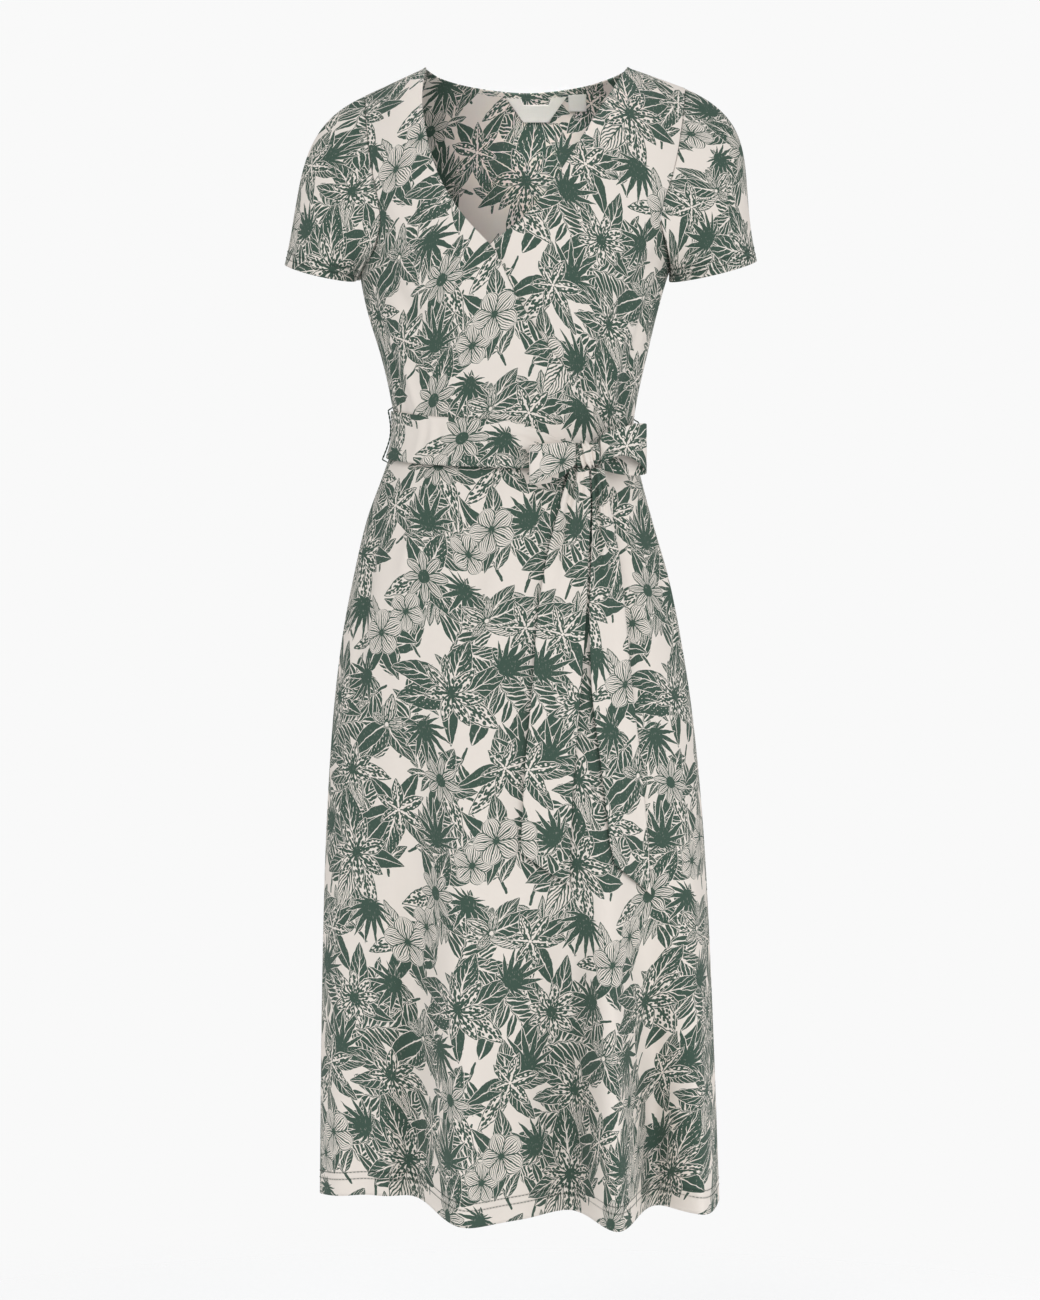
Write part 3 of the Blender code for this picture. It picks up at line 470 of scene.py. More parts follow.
RINGS = (
    # z, right side, left side, front depth, back depth
    (0.000, -0.168, 0.186, 0.056, 0.063),
    (-0.030, -0.168, 0.186, 0.067, 0.076),
    (-0.060, -0.168, 0.185, 0.081, 0.088),
    (-0.120, -0.167, 0.181, 0.103, 0.103),
    (-0.170, -0.162, 0.167, 0.118, 0.110),
    (-0.200, -0.157, 0.154, 0.122, 0.110),
    (-0.240, -0.149, 0.142, 0.122, 0.106),
    (-0.290, -0.134, 0.130, 0.112, 0.097),
    (-0.330, -0.125, 0.121, 0.102, 0.091),
    (-0.365, -0.1205, 0.117, 0.098, 0.090),
    (-0.400, -0.131, 0.123, 0.101, 0.098),
    (-0.450, -0.149, 0.136, 0.108, 0.111),
    (-0.510, -0.163, 0.153, 0.114, 0.122),
    (-0.570, -0.174, 0.165, 0.118, 0.127),
    (-0.650, -0.183, 0.177, 0.122, 0.130),
    (-0.770, -0.190, 0.188, 0.128, 0.134),
    (-0.930, -0.194, 0.196, 0.138, 0.142),
    (-1.122, -0.196, 0.203, 0.148, 0.150),
)
ARMHOLE = (
    # part of the edge, cloth below the shoulder line, turn on the front, turn on the back (degrees)
    (0, 0.0002, 65, 115),
    (0.08, 0.0600, 63.5, 118),
    (0.16, 0.1050, 61, 121),
    (0.24, 0.1450, 57.5, 123.5),
    (0.31, 0.1760, 55, 124),
    (0.37, 0.2010, 56, 121.5),
    (0.42, 0.2160, 64, 113),
    (0.46, 0.2250, 76, 102),
    (0.50, 0.2310, 90, 90),
)
UNDERARM = 0.50
UPPER_EDGE = (
    # part of the edge, x, z
    (0.0, -0.090, 0.002),
    (0.1, -0.0925, -0.037),
    (0.2, -0.086, -0.082),
    (0.3, -0.072, -0.124),
    (0.4, -0.049, -0.162),
    (0.5, -0.021, -0.195),
    (0.6, -0.005, -0.2285),
    (0.7, 0.014, -0.262),
    (0.8, 0.038, -0.297),
    (0.9, 0.067, -0.331),
    (1.0, 0.098, -0.383),
)
UNDER_EDGE = (
    (0.0, 0.112, 0.002),
    (0.1, 0.090, -0.036),
    (0.2, 0.063, -0.082),
    (0.3, 0.038, -0.124),
    (0.4, 0.008, -0.162),
    (0.5, -0.030, -0.195),
    (0.6, -0.050, -0.2285),
    (0.7, -0.062, -0.262),
    (0.8, -0.072, -0.297),
    (0.9, -0.082, -0.331),
    (1.0, -0.092, -0.374),
)
FOLDS = (
    # turn, half width (degrees), push outwards at the hem, height where it starts
    (-46, 14, -0.026, -0.480),
    (-30, 9, -0.050, -0.520),
    (-16, 10, 0.036, -0.560),
    (14, 11, -0.036, -0.700),
    (26.8, 8.8, 0.070, -0.640),
    (40, 8.5, -0.042, -0.740),
    (64, 14, 0.050, -0.600),
    (112, 14, 0.024, -0.560),
    (133, 11, -0.032, -0.700),
    (153, 13, 0.030, -0.600),
    (178, 14, -0.034, -0.540),
    (201, 12, 0.034, -0.680),
    (222, 11, -0.030, -0.600),
    (246, 14, 0.026, -0.740),
)
CREASES = (
    # turn and height at its start, turn and height at its end, half width (m), push outwards (m)
    (62, -0.190, 40, -0.285, 0.0110, -0.0053),
    (50, -0.150, 30, -0.230, 0.0100, 0.0037),
    (-60, -0.190, -38, -0.270, 0.0110, -0.0045),
    (-47, -0.150, -26, -0.225, 0.0100, 0.0033),
    (66, -0.235, 60, -0.345, 0.0080, -0.0042),
    (52, -0.260, 50, -0.350, 0.0060, 0.0033),
    (-70, -0.240, -62, -0.345, 0.0080, -0.0039),
    (-55, -0.290, -50, -0.352, 0.0060, 0.0030),
    (20, -0.260, 38, -0.350, 0.0070, -0.0033),
    (4, -0.290, 30, -0.352, 0.0060, 0.0024),
    (-22, -0.320, -10, -0.356, 0.0060, -0.0027),
    (-8, -0.420, -14, -0.560, 0.0120, -0.0060),
    (22, -0.420, 30, -0.600, 0.0110, 0.0053),
    (48, -0.410, 44, -0.620, 0.0120, -0.0067),
    (-36, -0.410, -42, -0.500, 0.0090, 0.0037),
    (-66, -0.430, -60, -0.620, 0.0140, -0.0053),
    (72, -0.420, 76, -0.560, 0.0100, 0.0042),
    (140, -0.180, 158, -0.300, 0.0130, -0.0053),
    (220, -0.190, 200, -0.290, 0.0130, -0.0048),
    (128, -0.240, 122, -0.345, 0.0090, -0.0042),
    (236, -0.245, 240, -0.345, 0.0090, -0.0039),
    (168, -0.300, 176, -0.352, 0.0070, 0.0033),
    (194, -0.310, 190, -0.352, 0.0070, -0.0033),
    (150, -0.410, 146, -0.600, 0.0130, -0.0060),
    (186, -0.405, 192, -0.560, 0.0120, 0.0053),
    (214, -0.410, 220, -0.580, 0.0120, -0.0054),
)
FOLD_GROWTH = 1.35  # more than 1: a fold deepens faster towards the hem
FOLD_SEAM = 4  # the side seams lie flat; folds are full where the cloth faces 1 / 4 forwards or back
CREASE_ENDS = 0.35  # the least depth of a crease as a part of its middle's
CREASE_SPAN = (0.15, 0.70)  # where on a half wave it starts, and how much of one it takes
PUCKERS = 34  # small gathers that the belt draws in, all round the waist
PUCKER_DEEP = 0.0011
PUCKER_UNEVEN = (1.3, 0.4)  # how uneven they are: in their places and in their depth
PUCKER_REPEAT = (3, 5)  # after how many of them either unevenness comes again
PUCKER_LONG = 0.034  # how far above and below the waist they reach


def read_row(table, key):
    """The other columns at these values of the first one, on smooth curves through the rows."""
    rows = np.array(sorted(table), dtype=float)
    last = len(rows) - 1
    key = np.clip(np.asarray(key, dtype=float), rows[0, 0], rows[last, 0])
    low = np.clip(np.searchsorted(rows[:, 0], key) - 1, 0, last - 1)
    before, here = rows[np.maximum(low - 1, 0)], rows[low]
    there, after = rows[low + 1], rows[np.minimum(low + 2, last)]
    span = (there - here)[..., :1]
    part = (key - here[..., 0])[..., None] / span
    rise_here = span * (there - before) / (there - before)[..., :1]
    rise_there = span * (after - here) / (after - here)[..., :1]
    value = (2 * part**3 - 3 * part**2 + 1) * here + (3 * part**2 - 2 * part**3) * there
    value += (part**3 - 2 * part**2 + part) * rise_here + (part**3 - part**2) * rise_there
    return np.moveaxis(value[..., 1:], -1, 0)


def ease(value):
    """0 to 1 with flat ends."""
    value = np.clip(value, 0.0, 1.0)
    return value * value * (3 - 2 * value)


def shoulder_height(x):
    past_neck = np.sqrt((x - NECK_MID) ** 2 + SHOULDER_EASE**2) - math.sqrt(NECK_HALF**2 + SHOULDER_EASE**2)
    fall = np.where(x < NECK_MID, SHOULDER_FALL[0], SHOULDER_FALL[1])
    return SHOULDER_TOP - np.where(past_neck < 0, NECK_RISE, fall) * past_neck


def waist_height(turn):
    angle = np.radians(turn)
    return WAIST_Z - WAIST_DIP * ease(np.cos(angle)) - WAIST_TILT * (1 + np.sin(angle))


def turn_apart(turn, middle):
    return (turn - middle + 180) % 360 - 180


def fold_push(turn, z):
    """How far the skirt's folds stand out at this turn in degrees and this height."""
    push = np.zeros(np.broadcast(turn, z).shape)
    for middle, half, depth, top in FOLDS:
        apart = np.clip(turn_apart(turn, middle), -2 * half, 2 * half)
        grown = np.maximum((top - z) / (top - HEM_Z), 0) ** FOLD_GROWTH
        push += depth * grown * np.cos(math.pi * apart / (4 * half)) ** 4
    return push


def crease_push(turn, z, half):
    """Soft troughs and ridges: each runs along a line on the dress and dies out past its ends."""
    push = np.zeros(np.broadcast(turn, z).shape)
    for first, top, last, bottom, width, depth in CREASES:
        across = half * math.radians(last - first)
        long = across**2 + (bottom - top) ** 2
        x, y = half * np.radians(turn_apart(turn, first)), z - top
        part = np.clip((x * across + y * (bottom - top)) / long, 0, 1)
        far = (x - part * across) ** 2 + (y - part * (bottom - top)) ** 2
        along = CREASE_ENDS + (1 - CREASE_ENDS) * np.sin(math.pi * (CREASE_SPAN[0] + CREASE_SPAN[1] * part))
        push += depth * np.exp(-far / width**2) * along
    under = z - waist_height(turn)
    beat = np.radians(turn) * PUCKERS
    shallow = 1 - PUCKER_UNEVEN[1] * (1 - np.sin(beat / PUCKER_REPEAT[1] + 1))
    beat = np.sin(beat + PUCKER_UNEVEN[0] * np.sin(beat / PUCKER_REPEAT[0])) * shallow
    return push + PUCKER_DEEP * beat * ease(1 - np.abs(under) / PUCKER_LONG)


def ring_point(turn, z, out=0.0):
    """A point of the dress below the shoulders: turn 0 is centre front, 90 the wearer's left side."""
    turn, z = np.broadcast_arrays(np.asarray(turn, dtype=float), np.asarray(z, dtype=float))
    right, left, front, back = read_row(RINGS, z)
    middle, half = (left + right) / 2, (left - right) / 2
    angle = np.radians(turn)
    facing = np.cos(angle)
    depth = np.where(facing > 0, front, back)
    x, y = middle + half * np.sin(angle), -depth * facing
    folds = np.where(z < WAIST_Z, fold_push(turn, z), 0.0) * ease(FOLD_SEAM * np.abs(facing))
    y = y - np.sign(facing) * folds
    nx, ny = np.sin(angle) / half, -facing / depth
    long = np.hypot(nx, ny)
    out = out + crease_push(turn, z, half)
    return np.stack((x + out * nx / long, y + out * ny / long, z), axis=-1)


def turn_at(x, z, on_back=False):
    """The turn at which the dress has this x."""
    right, left, _front, _back = read_row(RINGS, z)
    part = (x - (left + right) / 2) / ((left - right) / 2)
    turn = np.degrees(np.arcsin(np.clip(part, -1.0, 1.0)))
    return 180 - turn if on_back else turn


def ring_x(turn, z):
    right, left, _front, _back = read_row(RINGS, z)
    return (left + right) / 2 + (left - right) / 2 * np.sin(np.radians(turn))


def bodice_point(turn, down, out=0.0):
    """A point of the bodice, 'down' metres of cloth below the shoulder line."""
    rolling = np.minimum(down / ROLL, math.pi / 2)
    drop = ROLL * (1 - np.cos(rolling)) + np.maximum(0.0, down - ROLL * math.pi / 2)
    z = -drop
    for _again in range(6):
        z = shoulder_height(ring_x(turn, z)) - drop
    point = ring_point(turn, z, out * np.sin(rolling))
    point[..., 1] *= np.sin(rolling)
    point[..., 2] += out * np.cos(rolling)
    return point


def on_bodice(turn, z):
    """(turn, cloth below the shoulder) of a point given by its turn and height."""
    drop = np.maximum(shoulder_height(ring_x(turn, z)) - z, 0.0)
    rolled = ROLL * np.arccos(np.clip(1 - drop / ROLL, -1.0, 1.0))
    straight_down = drop - ROLL + ROLL * math.pi / 2
    return np.array(np.broadcast_arrays(turn, np.where(drop < ROLL, rolled, straight_down)))


SEAM_TURN = 0.14
SEAM_TOP = ARMHOLE[0][1]


def outer_edge(part, side, on_back):
    """Armhole, then side seam: 0 is the shoulder tip and 1 the waist."""
    part = np.asarray(part, dtype=float)
    down, front, back = read_row(ARMHOLE, np.minimum(part, UNDERARM))
    turn = side * (back + SEAM_TURN if on_back else front - SEAM_TURN)
    waist_down = on_bodice(turn, waist_height(turn) + SEAM)[1]
    lower = np.maximum(part - UNDERARM, 0) / (1 - UNDERARM)
    return np.array((turn, down + (waist_down - down) * lower))


def edge_to_waist(table):
    """The same edge with its last row brought onto the waist seam."""
    part, x, z = table[-1]
    for _again in range(4):
        z = float(waist_height(turn_at(x, z))) + SEAM
    return table[:-1] + ((part, x, z),)


def open_edge(part, table):
    """The neckline and wrap edge of a front, from the shoulder to the waist."""
    x, z = read_row(table, part)
    turn, down = on_bodice(turn_at(x, z), z)
    return np.array((turn, np.maximum(down, SEAM_TOP)))


def fill_patch(u, v, top, bottom, start, end):
    """Points between four edges, each a function of its own part from 0 to 1."""
    ruled = top(u) * (1 - v) + bottom(u) * v
    sides = start(v) * (1 - u) + end(v) * u
    ends = np.array([0.0, 1.0])
    corners = [edge(ends)[:, :, None, None] for edge in (top, bottom)]
    upper = corners[0][:, 0] * (1 - u) + corners[0][:, 1] * u
    lower = corners[1][:, 0] * (1 - u) + corners[1][:, 1] * u
    return ruled + sides - upper * (1 - v) - lower * v


def waist_row(first, last):
    """An edge just above the waist seam, between two turns."""

    def edge(part):
        turn = first + (last - first) * part
        return on_bodice(turn, waist_height(turn) + SEAM)

    return edge


def wrap_standoff(turn, down):
    """How far the upper front stands off: nothing at its armhole, side seam and shoulder."""
    turn_high, turn_low, high, low = WRAP_START
    start = turn_high + (turn_low - turn_high) * ease((down - high) / (low - high))
    risen = ease((down - WRAP_TOP[0]) / (WRAP_TOP[1] - WRAP_TOP[0]))
    return WRAP_OUT * ease((turn - start) / WRAP_SPAN) * risen


def turned_edge(u):
    """The extra thickness of the narrow hem along an open edge, at u = 1."""
    return TURNED * ease((u - 1 + TURNED_WIDE) / TURNED_STEP)


ROW_CLOSER = 1.35  # more than 1: the first rows lie closer together


def panel_row(v):
    """Rows lie closer together where the cloth rounds over the shoulder."""
    return np.where(v < UNDERARM, UNDERARM * (np.minimum(v, UNDERARM) / UNDERARM) ** ROW_CLOSER, v)


def front_panel(side, table):
    """Maps u (armhole to open edge) and v (shoulder to waist) onto one front: turn and cloth below."""
    last_turn = float(open_edge(1.0, table)[0])

    def top(part):
        tip, neck = outer_edge(0, side, False)[0], open_edge(0, table)[0]
        return np.array((tip + (neck - tip) * part, np.full_like(part, SEAM_TOP)))

    def place(u, v):
        return fill_patch(
            u,
            panel_row(v),
            top,
            waist_row(side * (90 - SEAM_TURN), last_turn),
            lambda part: outer_edge(part, side, False),
            lambda part: open_edge(part, table),
        )

    return place


def cloth_grid(columns, rows):
    """u and v of a grid's points, row by row from the top."""
    return np.meshgrid(np.linspace(0, 1, columns + 1), np.linspace(0, 1, rows + 1))


def bodice_flat(turn, down, centre):
    """Where points of the bodice lie in the flat cloth: across from the panel's middle, and down."""
    steps = 20
    walk = [bodice_point(centre + (turn - centre) * step / steps, down) for step in range(steps + 1)]
    length = sum(np.linalg.norm(after - before, axis=-1) for before, after in zip(walk, walk[1:]))
    return np.stack((np.sign(turn - centre) * length, -down), axis=-1)


def grid_flat(points, hem=None):
    """The same for any grid: across from its middle column, down from its first row or from above its hem."""
    across = np.linalg.norm(np.diff(points, axis=1), axis=-1)
    across = np.concatenate((np.zeros((len(points), 1)), np.cumsum(across, axis=1)), axis=1)
    middle = across[:, [points.shape[1] // 2]]
    down = np.linalg.norm(np.diff(points, axis=0), axis=-1)
    down = np.concatenate((np.zeros((1, points.shape[1])), np.cumsum(down, axis=0)))
    if hem is not None:
        down = down - down[-1] + hem
    return np.stack((across - middle, -down), axis=-1)


MERGE = 1e-6  # points this close are taken as one


def edit_all(step, **settings):
    """One step of edit mode on all of the active mesh."""
    bpy.ops.object.mode_set(mode="EDIT")
    bpy.ops.mesh.select_all(action="SELECT")
    step(**settings)
    bpy.ops.object.mode_set(mode="OBJECT")


def lay_flat(mesh, flat):
    """Keeps where each point lies in the flat cloth, as the only UV map."""
    while mesh.uv_layers:
        mesh.uv_layers.remove(mesh.uv_layers[0])
    index = np.empty(len(mesh.loops), dtype=int)
    mesh.loops.foreach_get("vertex_index", index)
    mesh.uv_layers.new(name="cloth").data.foreach_set("uv", flat[index].ravel())
    mesh.update()


def finish_piece(piece, finish, stands_for=None):
    """The active piece is smooth, of one material, and rides on the dress."""
    bpy.ops.object.shade_smooth()
    piece.data.materials.append(finish)
    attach(piece, "root")
    if stands_for:
        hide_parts(stands_for)


def add_sheet(name, points, wall, outwards, flat=None, closed=False, shift=(0, 0), finish=jersey, cut=None):
    """A grid laid on these points, thickened inwards from its outer face, with its place in the flat cloth.
    The faces that cut names are left out."""
    if flat is None:
        flat = grid_flat(points)
    bpy.ops.object.select_all(action="DESELECT")
    rows, columns = points.shape[0] - 1, points.shape[1] - 1
    bpy.ops.mesh.primitive_grid_add(x_subdivisions=columns, y_subdivisions=rows, size=1)
    piece = bpy.context.object
    piece.name = piece.data.name = name
    mesh = piece.data
    mesh.vertices.foreach_set("co", points[::-1].ravel())
    lay_flat(mesh, flat[::-1].reshape(-1, 2))
    normals = np.empty(len(mesh.polygons) * 3)
    middles = np.empty(len(mesh.polygons) * 3)
    mesh.polygons.foreach_get("normal", normals)
    mesh.polygons.foreach_get("center", middles)
    facing = (normals.reshape(-1, 3) * outwards(middles.reshape(-1, 3))).sum()
    if closed:
        edit_all(bpy.ops.mesh.remove_doubles, threshold=MERGE)
    if facing < 0:
        edit_all(bpy.ops.mesh.flip_normals)
    if cut is not None:
        edit_all(bpy.ops.mesh.select_all, action="DESELECT")
        mesh.polygons.foreach_set("select", cut[::-1].ravel())
        bpy.ops.object.mode_set(mode="EDIT")
        bpy.ops.mesh.delete(type="FACE")
        bpy.ops.object.mode_set(mode="OBJECT")
    wall_step = piece.modifiers.new("wall", "SOLIDIFY")
    wall_step.thickness = wall
    wall_step.offset = -1
    bpy.ops.object.modifier_apply(modifier="wall")
    finish_piece(piece, finish, name)
    if finish == jersey:
        stamp_print(piece, shift)
    return piece


SHOULDER_UP = (0.3, 0.1)  # how much the outside of the dress faces up, and from how far below its top


def from_axis(points):
    """Away from the middle of the body."""
    away = points.copy()
    away[:, 2] = SHOULDER_UP[0] * np.maximum(0.0, points[:, 2] + SHOULDER_UP[1])
    return away


V_DOWN = 0.20  # below this the under front is covered and its edge lies flat
BODICE_ROWS = 110
u, v = cloth_grid(96, BODICE_ROWS)
turn, down = front_panel(-1, edge_to_waist(UPPER_EDGE))(u, v)
upper_front = add_sheet(
    "front_bodice_right", bodice_point(turn, down, wrap_standoff(turn, down) + turned_edge(u)),
    CLOTH, from_axis, bodice_flat(turn, down, 0.0),
)

u, v = cloth_grid(88, BODICE_ROWS)
turn, down = front_panel(1, edge_to_waist(UNDER_EDGE))(u, v)
under_front = add_sheet(
    "front_bodice_left", bodice_point(turn, down, turned_edge(u) * (down < V_DOWN)),
    CLOTH, from_axis, bodice_flat(turn, down, 0.0), shift=(192, 42),
)

# ---------------------------------------------------------------- bodice: the back
# One piece of the same jersey with a shallow scooped neck, cut without a seam down its middle. It is joined
# to the fronts at the shoulders and at the side seams.
BACK_SHOULDER = 0.22
BACK_NECK = (
    # part of the neckline, x, z
    (0.00, -0.090, 0.002),
    (0.12, -0.073, -0.004),
    (0.30, -0.040, -0.009),
    (0.50, 0.011, -0.012),
    (0.70, 0.062, -0.009),
    (0.88, 0.095, -0.003),
    (1.00, 0.112, 0.002),
)


def back_top(part):
    """Shoulder seam, back neckline, shoulder seam, as the part goes from the wearer's left to right."""
    left_tip, left_neck = outer_edge(0, 1, True)[0], turn_at(BACK_NECK[-1][1], 0, True)
    right_tip, right_neck = 360 + outer_edge(0, -1, True)[0], turn_at(BACK_NECK[0][1], 0, True)
    x, z = read_row(BACK_NECK, 1 - (part - BACK_SHOULDER) / (1 - 2 * BACK_SHOULDER))
    turn, down = on_bodice(turn_at(x, z, True), z)
    on_left, on_right = part < BACK_SHOULDER, part > 1 - BACK_SHOULDER
    turn = np.where(on_left, left_tip + (left_neck - left_tip) * part / BACK_SHOULDER, turn)
    turn = np.where(on_right, right_tip + (right_neck - right_tip) * (1 - part) / BACK_SHOULDER, turn)
    return np.array((turn, np.where(on_left | on_right, SEAM_TOP, np.maximum(down, SEAM_TOP))))


def back_right_edge(part):
    turn, down = outer_edge(part, -1, True)
    return np.array((360 + turn, down))


def back_panel(u, v):
    return fill_patch(
        u,
        panel_row(v),
        back_top,
        waist_row(90 + SEAM_TURN, 270 - SEAM_TURN),
        lambda part: outer_edge(part, 1, True),
        back_right_edge,
    )


turn, down = back_panel(*cloth_grid(120, BODICE_ROWS))
back = add_sheet(
    "back_bodice", bodice_point(turn, down), CLOTH, from_axis, bodice_flat(turn, down, 180.0),
    shift=(63, 118),
)

# ---------------------------------------------------------------- sleeves
# Short set-in sleeves of the same jersey, each one piece sewn into a tube with its seam under the arm. Their
# hems are turned and twin-needle stitched, and slight drag folds run round them.
SLEEVES = {
    # side (-1 wearer's right); its hem's middle x, middle z, half width, half depth, lean; its cap's fullness
    "sleeve_right": (-1, -0.1955, -0.2025, 0.0365, 0.062, 0.240, 1.25),
    "sleeve_left": (1, 0.1970, -0.2010, 0.0450, 0.062, 0.245, 1.42),
}
SLEEVE_PRINTS = {"sleeve_right": (204, 228), "sleeve_left": (140, 95)}  # shift of the print (mm)
SLEEVE_PITCH = 0.011  # how much lower its hem is in front than at its side; at the back it is as much higher
SLEEVE_CLEAR = 0.0006  # from the armhole's edge
SLEEVE_CENTRE_IN = 0.03  # its ripples point away from this far inside its middle
SLEEVE_LEAVES = ((0.92, -0.40), (0.22, -0.95))  # which way it leaves the shoulder and the underarm: out, up
ARMHOLE_MIDDLE = (0.150, -0.115)


def armhole_point(part, side):
    """Round the armhole: 0 shoulder tip, 0.25 front, 0.5 underarm, 0.75 back."""
    along = np.minimum(part, 1 - part)
    front = bodice_point(*outer_edge(panel_row(along), side, False))
    back_edge = bodice_point(*outer_edge(panel_row(along), side, True))
    joined = ((along < MERGE) | (along > UNDERARM - MERGE))[..., None]
    apart = np.where((part < 0.5)[..., None], front, back_edge)
    return np.where(joined, (front + back_edge) / 2, apart)


def unit(vector):
    vector = np.asarray(vector, dtype=float)
    return vector / np.linalg.norm(vector, axis=-1, keepdims=True)


def sleeve_points(row, u, v):
    """u goes round from the underarm, v from the armhole to the hem."""
    side, middle_x, middle_z, half_wide, half_deep, lean, fullness = row
    part = (u + 0.5) % 1.0
    start = armhole_point(part, side)
    inwards = unit(np.array((side * ARMHOLE_MIDDLE[0], 0, ARMHOLE_MIDDLE[1])) - start)
    start = start + SLEEVE_CLEAR * (inwards + np.array((side, 0, 0)))
    angle = (2 * math.pi * part)[..., None]
    end = np.array((middle_x, 0, middle_z)) + half_wide * np.cos(angle) * unit((side, 0, lean))
    end = end - np.sin(angle) * np.array((0, half_deep, SLEEVE_PITCH))
    low = (1 - np.cos(angle)) / 2
    (out_top, up_top), (out_low, up_low) = SLEEVE_LEAVES
    leaves = (side * (out_top + (out_low - out_top) * low), 0 * low, up_top + (up_low - up_top) * low)
    leave = unit(np.concatenate(leaves, axis=-1))
    reach = np.linalg.norm(end - start, axis=-1, keepdims=True) * (fullness + (1 - fullness) * low)
    v = v[..., None]
    point = (2 * v**3 - 3 * v**2 + 1) * start + (3 * v**2 - 2 * v**3) * end
    return point + (v**3 - 2 * v**2 + v) * reach * leave + (v**3 - v**2) * reach * unit((side * lean, 0, -1))


SLEEVE_RIPPLES = (
    # part of the way round, half width (of the same), push outwards, where along the sleeve it is deepest
    (0.36, 0.050, -0.0030, 0.45),
    (0.24, 0.045, 0.0026, 0.60),
    (0.62, 0.055, -0.0028, 0.50),
    (0.78, 0.050, 0.0024, 0.65),
)


def sleeve_surface(row, u, v):
    """The same with its drag folds."""
    points = sleeve_points(row, u, v)
    centre = np.array((row[1] - SLEEVE_CENTRE_IN * row[0], 0, 0))
    between = np.sin(math.pi * np.clip(v, 0, 1))  # nothing at the armhole and at the hem
    swell = sum(
        deep * np.exp(-(((u - place) / half) ** 2)) * between * ease(v / (2 * peak))
        for place, half, deep, peak in SLEEVE_RIPPLES
    )
    return points + swell[..., None] * unit((points - centre) * np.array((1, 1, 0)))


def from_sleeve(row, points):
    """Away from the middle of a sleeve."""
    return points - np.array((row[1], 0, ARMHOLE_MIDDLE[1]))


for name, row in SLEEVES.items():
    points = sleeve_surface(row, *cloth_grid(132, 60))
    sleeve = add_sheet(
        name, points, CLOTH, lambda middles, row=row: from_sleeve(row, middles),
        grid_flat(points, hem=0.0), closed=True, shift=SLEEVE_PRINTS[name],
    )

# ---------------------------------------------------------------- skirt
# A closed A-line midi skirt of the same jersey: two panels, joined at the side seams and to the bodice under
# the belt. It hangs in soft uneven folds that deepen towards the hem.
SKIRT_HEM_MORE = 0.009  # its turned hem is this much deeper than a sleeve's
HEM_RISE = (
    # turn, rise of the hem
    (-90, 0),
    (-60, 0.008),
    (-34, 0.010),
    (-14, -0.003),
    (14, 0.002),
    (32, -0.004),
    (48, 0.001),
    (90, -0.006),
    (135, 0.003),
    (180, 0.005),
    (225, 0.004),
    (270, 0),
)


def skirt_points(first, last, u, v):
    """u goes round from one side seam to the other, v from the waist to the hem."""
    turn = first + (last - first) * u
    top = waist_height(turn) - SEAM
    hem = HEM_Z + read_row(HEM_RISE, (turn + 90) % 360 - 90)[0]
    z = top + (hem - top) * v
    point = ring_point(turn, np.maximum(z, HEM_Z))
    point[..., 2] = z
    return point


SKIRT_PANELS = (
    # name, first turn, last turn, columns, flat width and length, flat area, shift of the print (mm)
    ("skirt_front", -90 + SEAM_TURN, 90 - SEAM_TURN, 172, (0.66, 0.76), 0.400, (0, 212)),
    ("skirt_back", 90 + SEAM_TURN, 270 - SEAM_TURN, 168, (0.64, 0.76), 0.388, (70, 2)),
)
for name, first, last, columns, size, area, shift in SKIRT_PANELS:
    points = skirt_points(first, last, *cloth_grid(columns, 190))
    panel = add_sheet(name, points, CLOTH, from_axis, grid_flat(points, hem=SKIRT_HEM_MORE), shift=shift)

# ---------------------------------------------------------------- belt
# A self belt, a flat tube of the same jersey, goes once round the waist and is tied at the left front in a
# bow with two short loops and two long ends. It bunches into lengthwise folds where it runs into the knot.
BELT_CLOTH = 0.0020
BELT_HIGH = 0.047
BELT_OUT = 0.0052  # its outer face off the dress
KNOT = np.array((0.069, -0.1035, -0.391))  # its middle
BELT_TAPER = 0.10  # part of its length over which it narrows towards the knot
BELT_PINCH = 0.5  # how high it still is there, as a part of its full height
BELT_END_OUT = 0.0034  # how much more it stands off there
BAND_CLEAR = 5.0  # degrees between its ends and the knot's middle
BAND_FOLDS = (
    # part of the height, half width (of it), push outwards, how far from the knot it runs (of the length)
    (0.16, 0.07, -0.0022, 0.10),
    (0.34, 0.08, -0.0036, 0.22),
    (0.52, 0.08, 0.0024, 0.14),
    (0.68, 0.08, -0.0034, 0.26),
    (0.86, 0.07, -0.0020, 0.12),
)
BAND_SAG = 0.0016  # how much more its lower edge stands off in front
BAND_FRONT = (0.02, 0.45)  # how far behind the sides its front begins, and how soon it is full, as a cosine
BAND_CLOSE = 0.0018  # how much nearer it lies at the sides and back, where no second front is under it
BAND_ROUND = (0.0010, 0.06)  # how far its edges turn in, and over which part of its height
BAND_WAVES = (0.0006, 9, 4)  # small uneven waves: depth, half waves along it, how far they slant
BAND_START = 0.004  # part of its length over which its folds open from the knot
knot_turn = float(turn_at(KNOT[0], KNOT[2]))


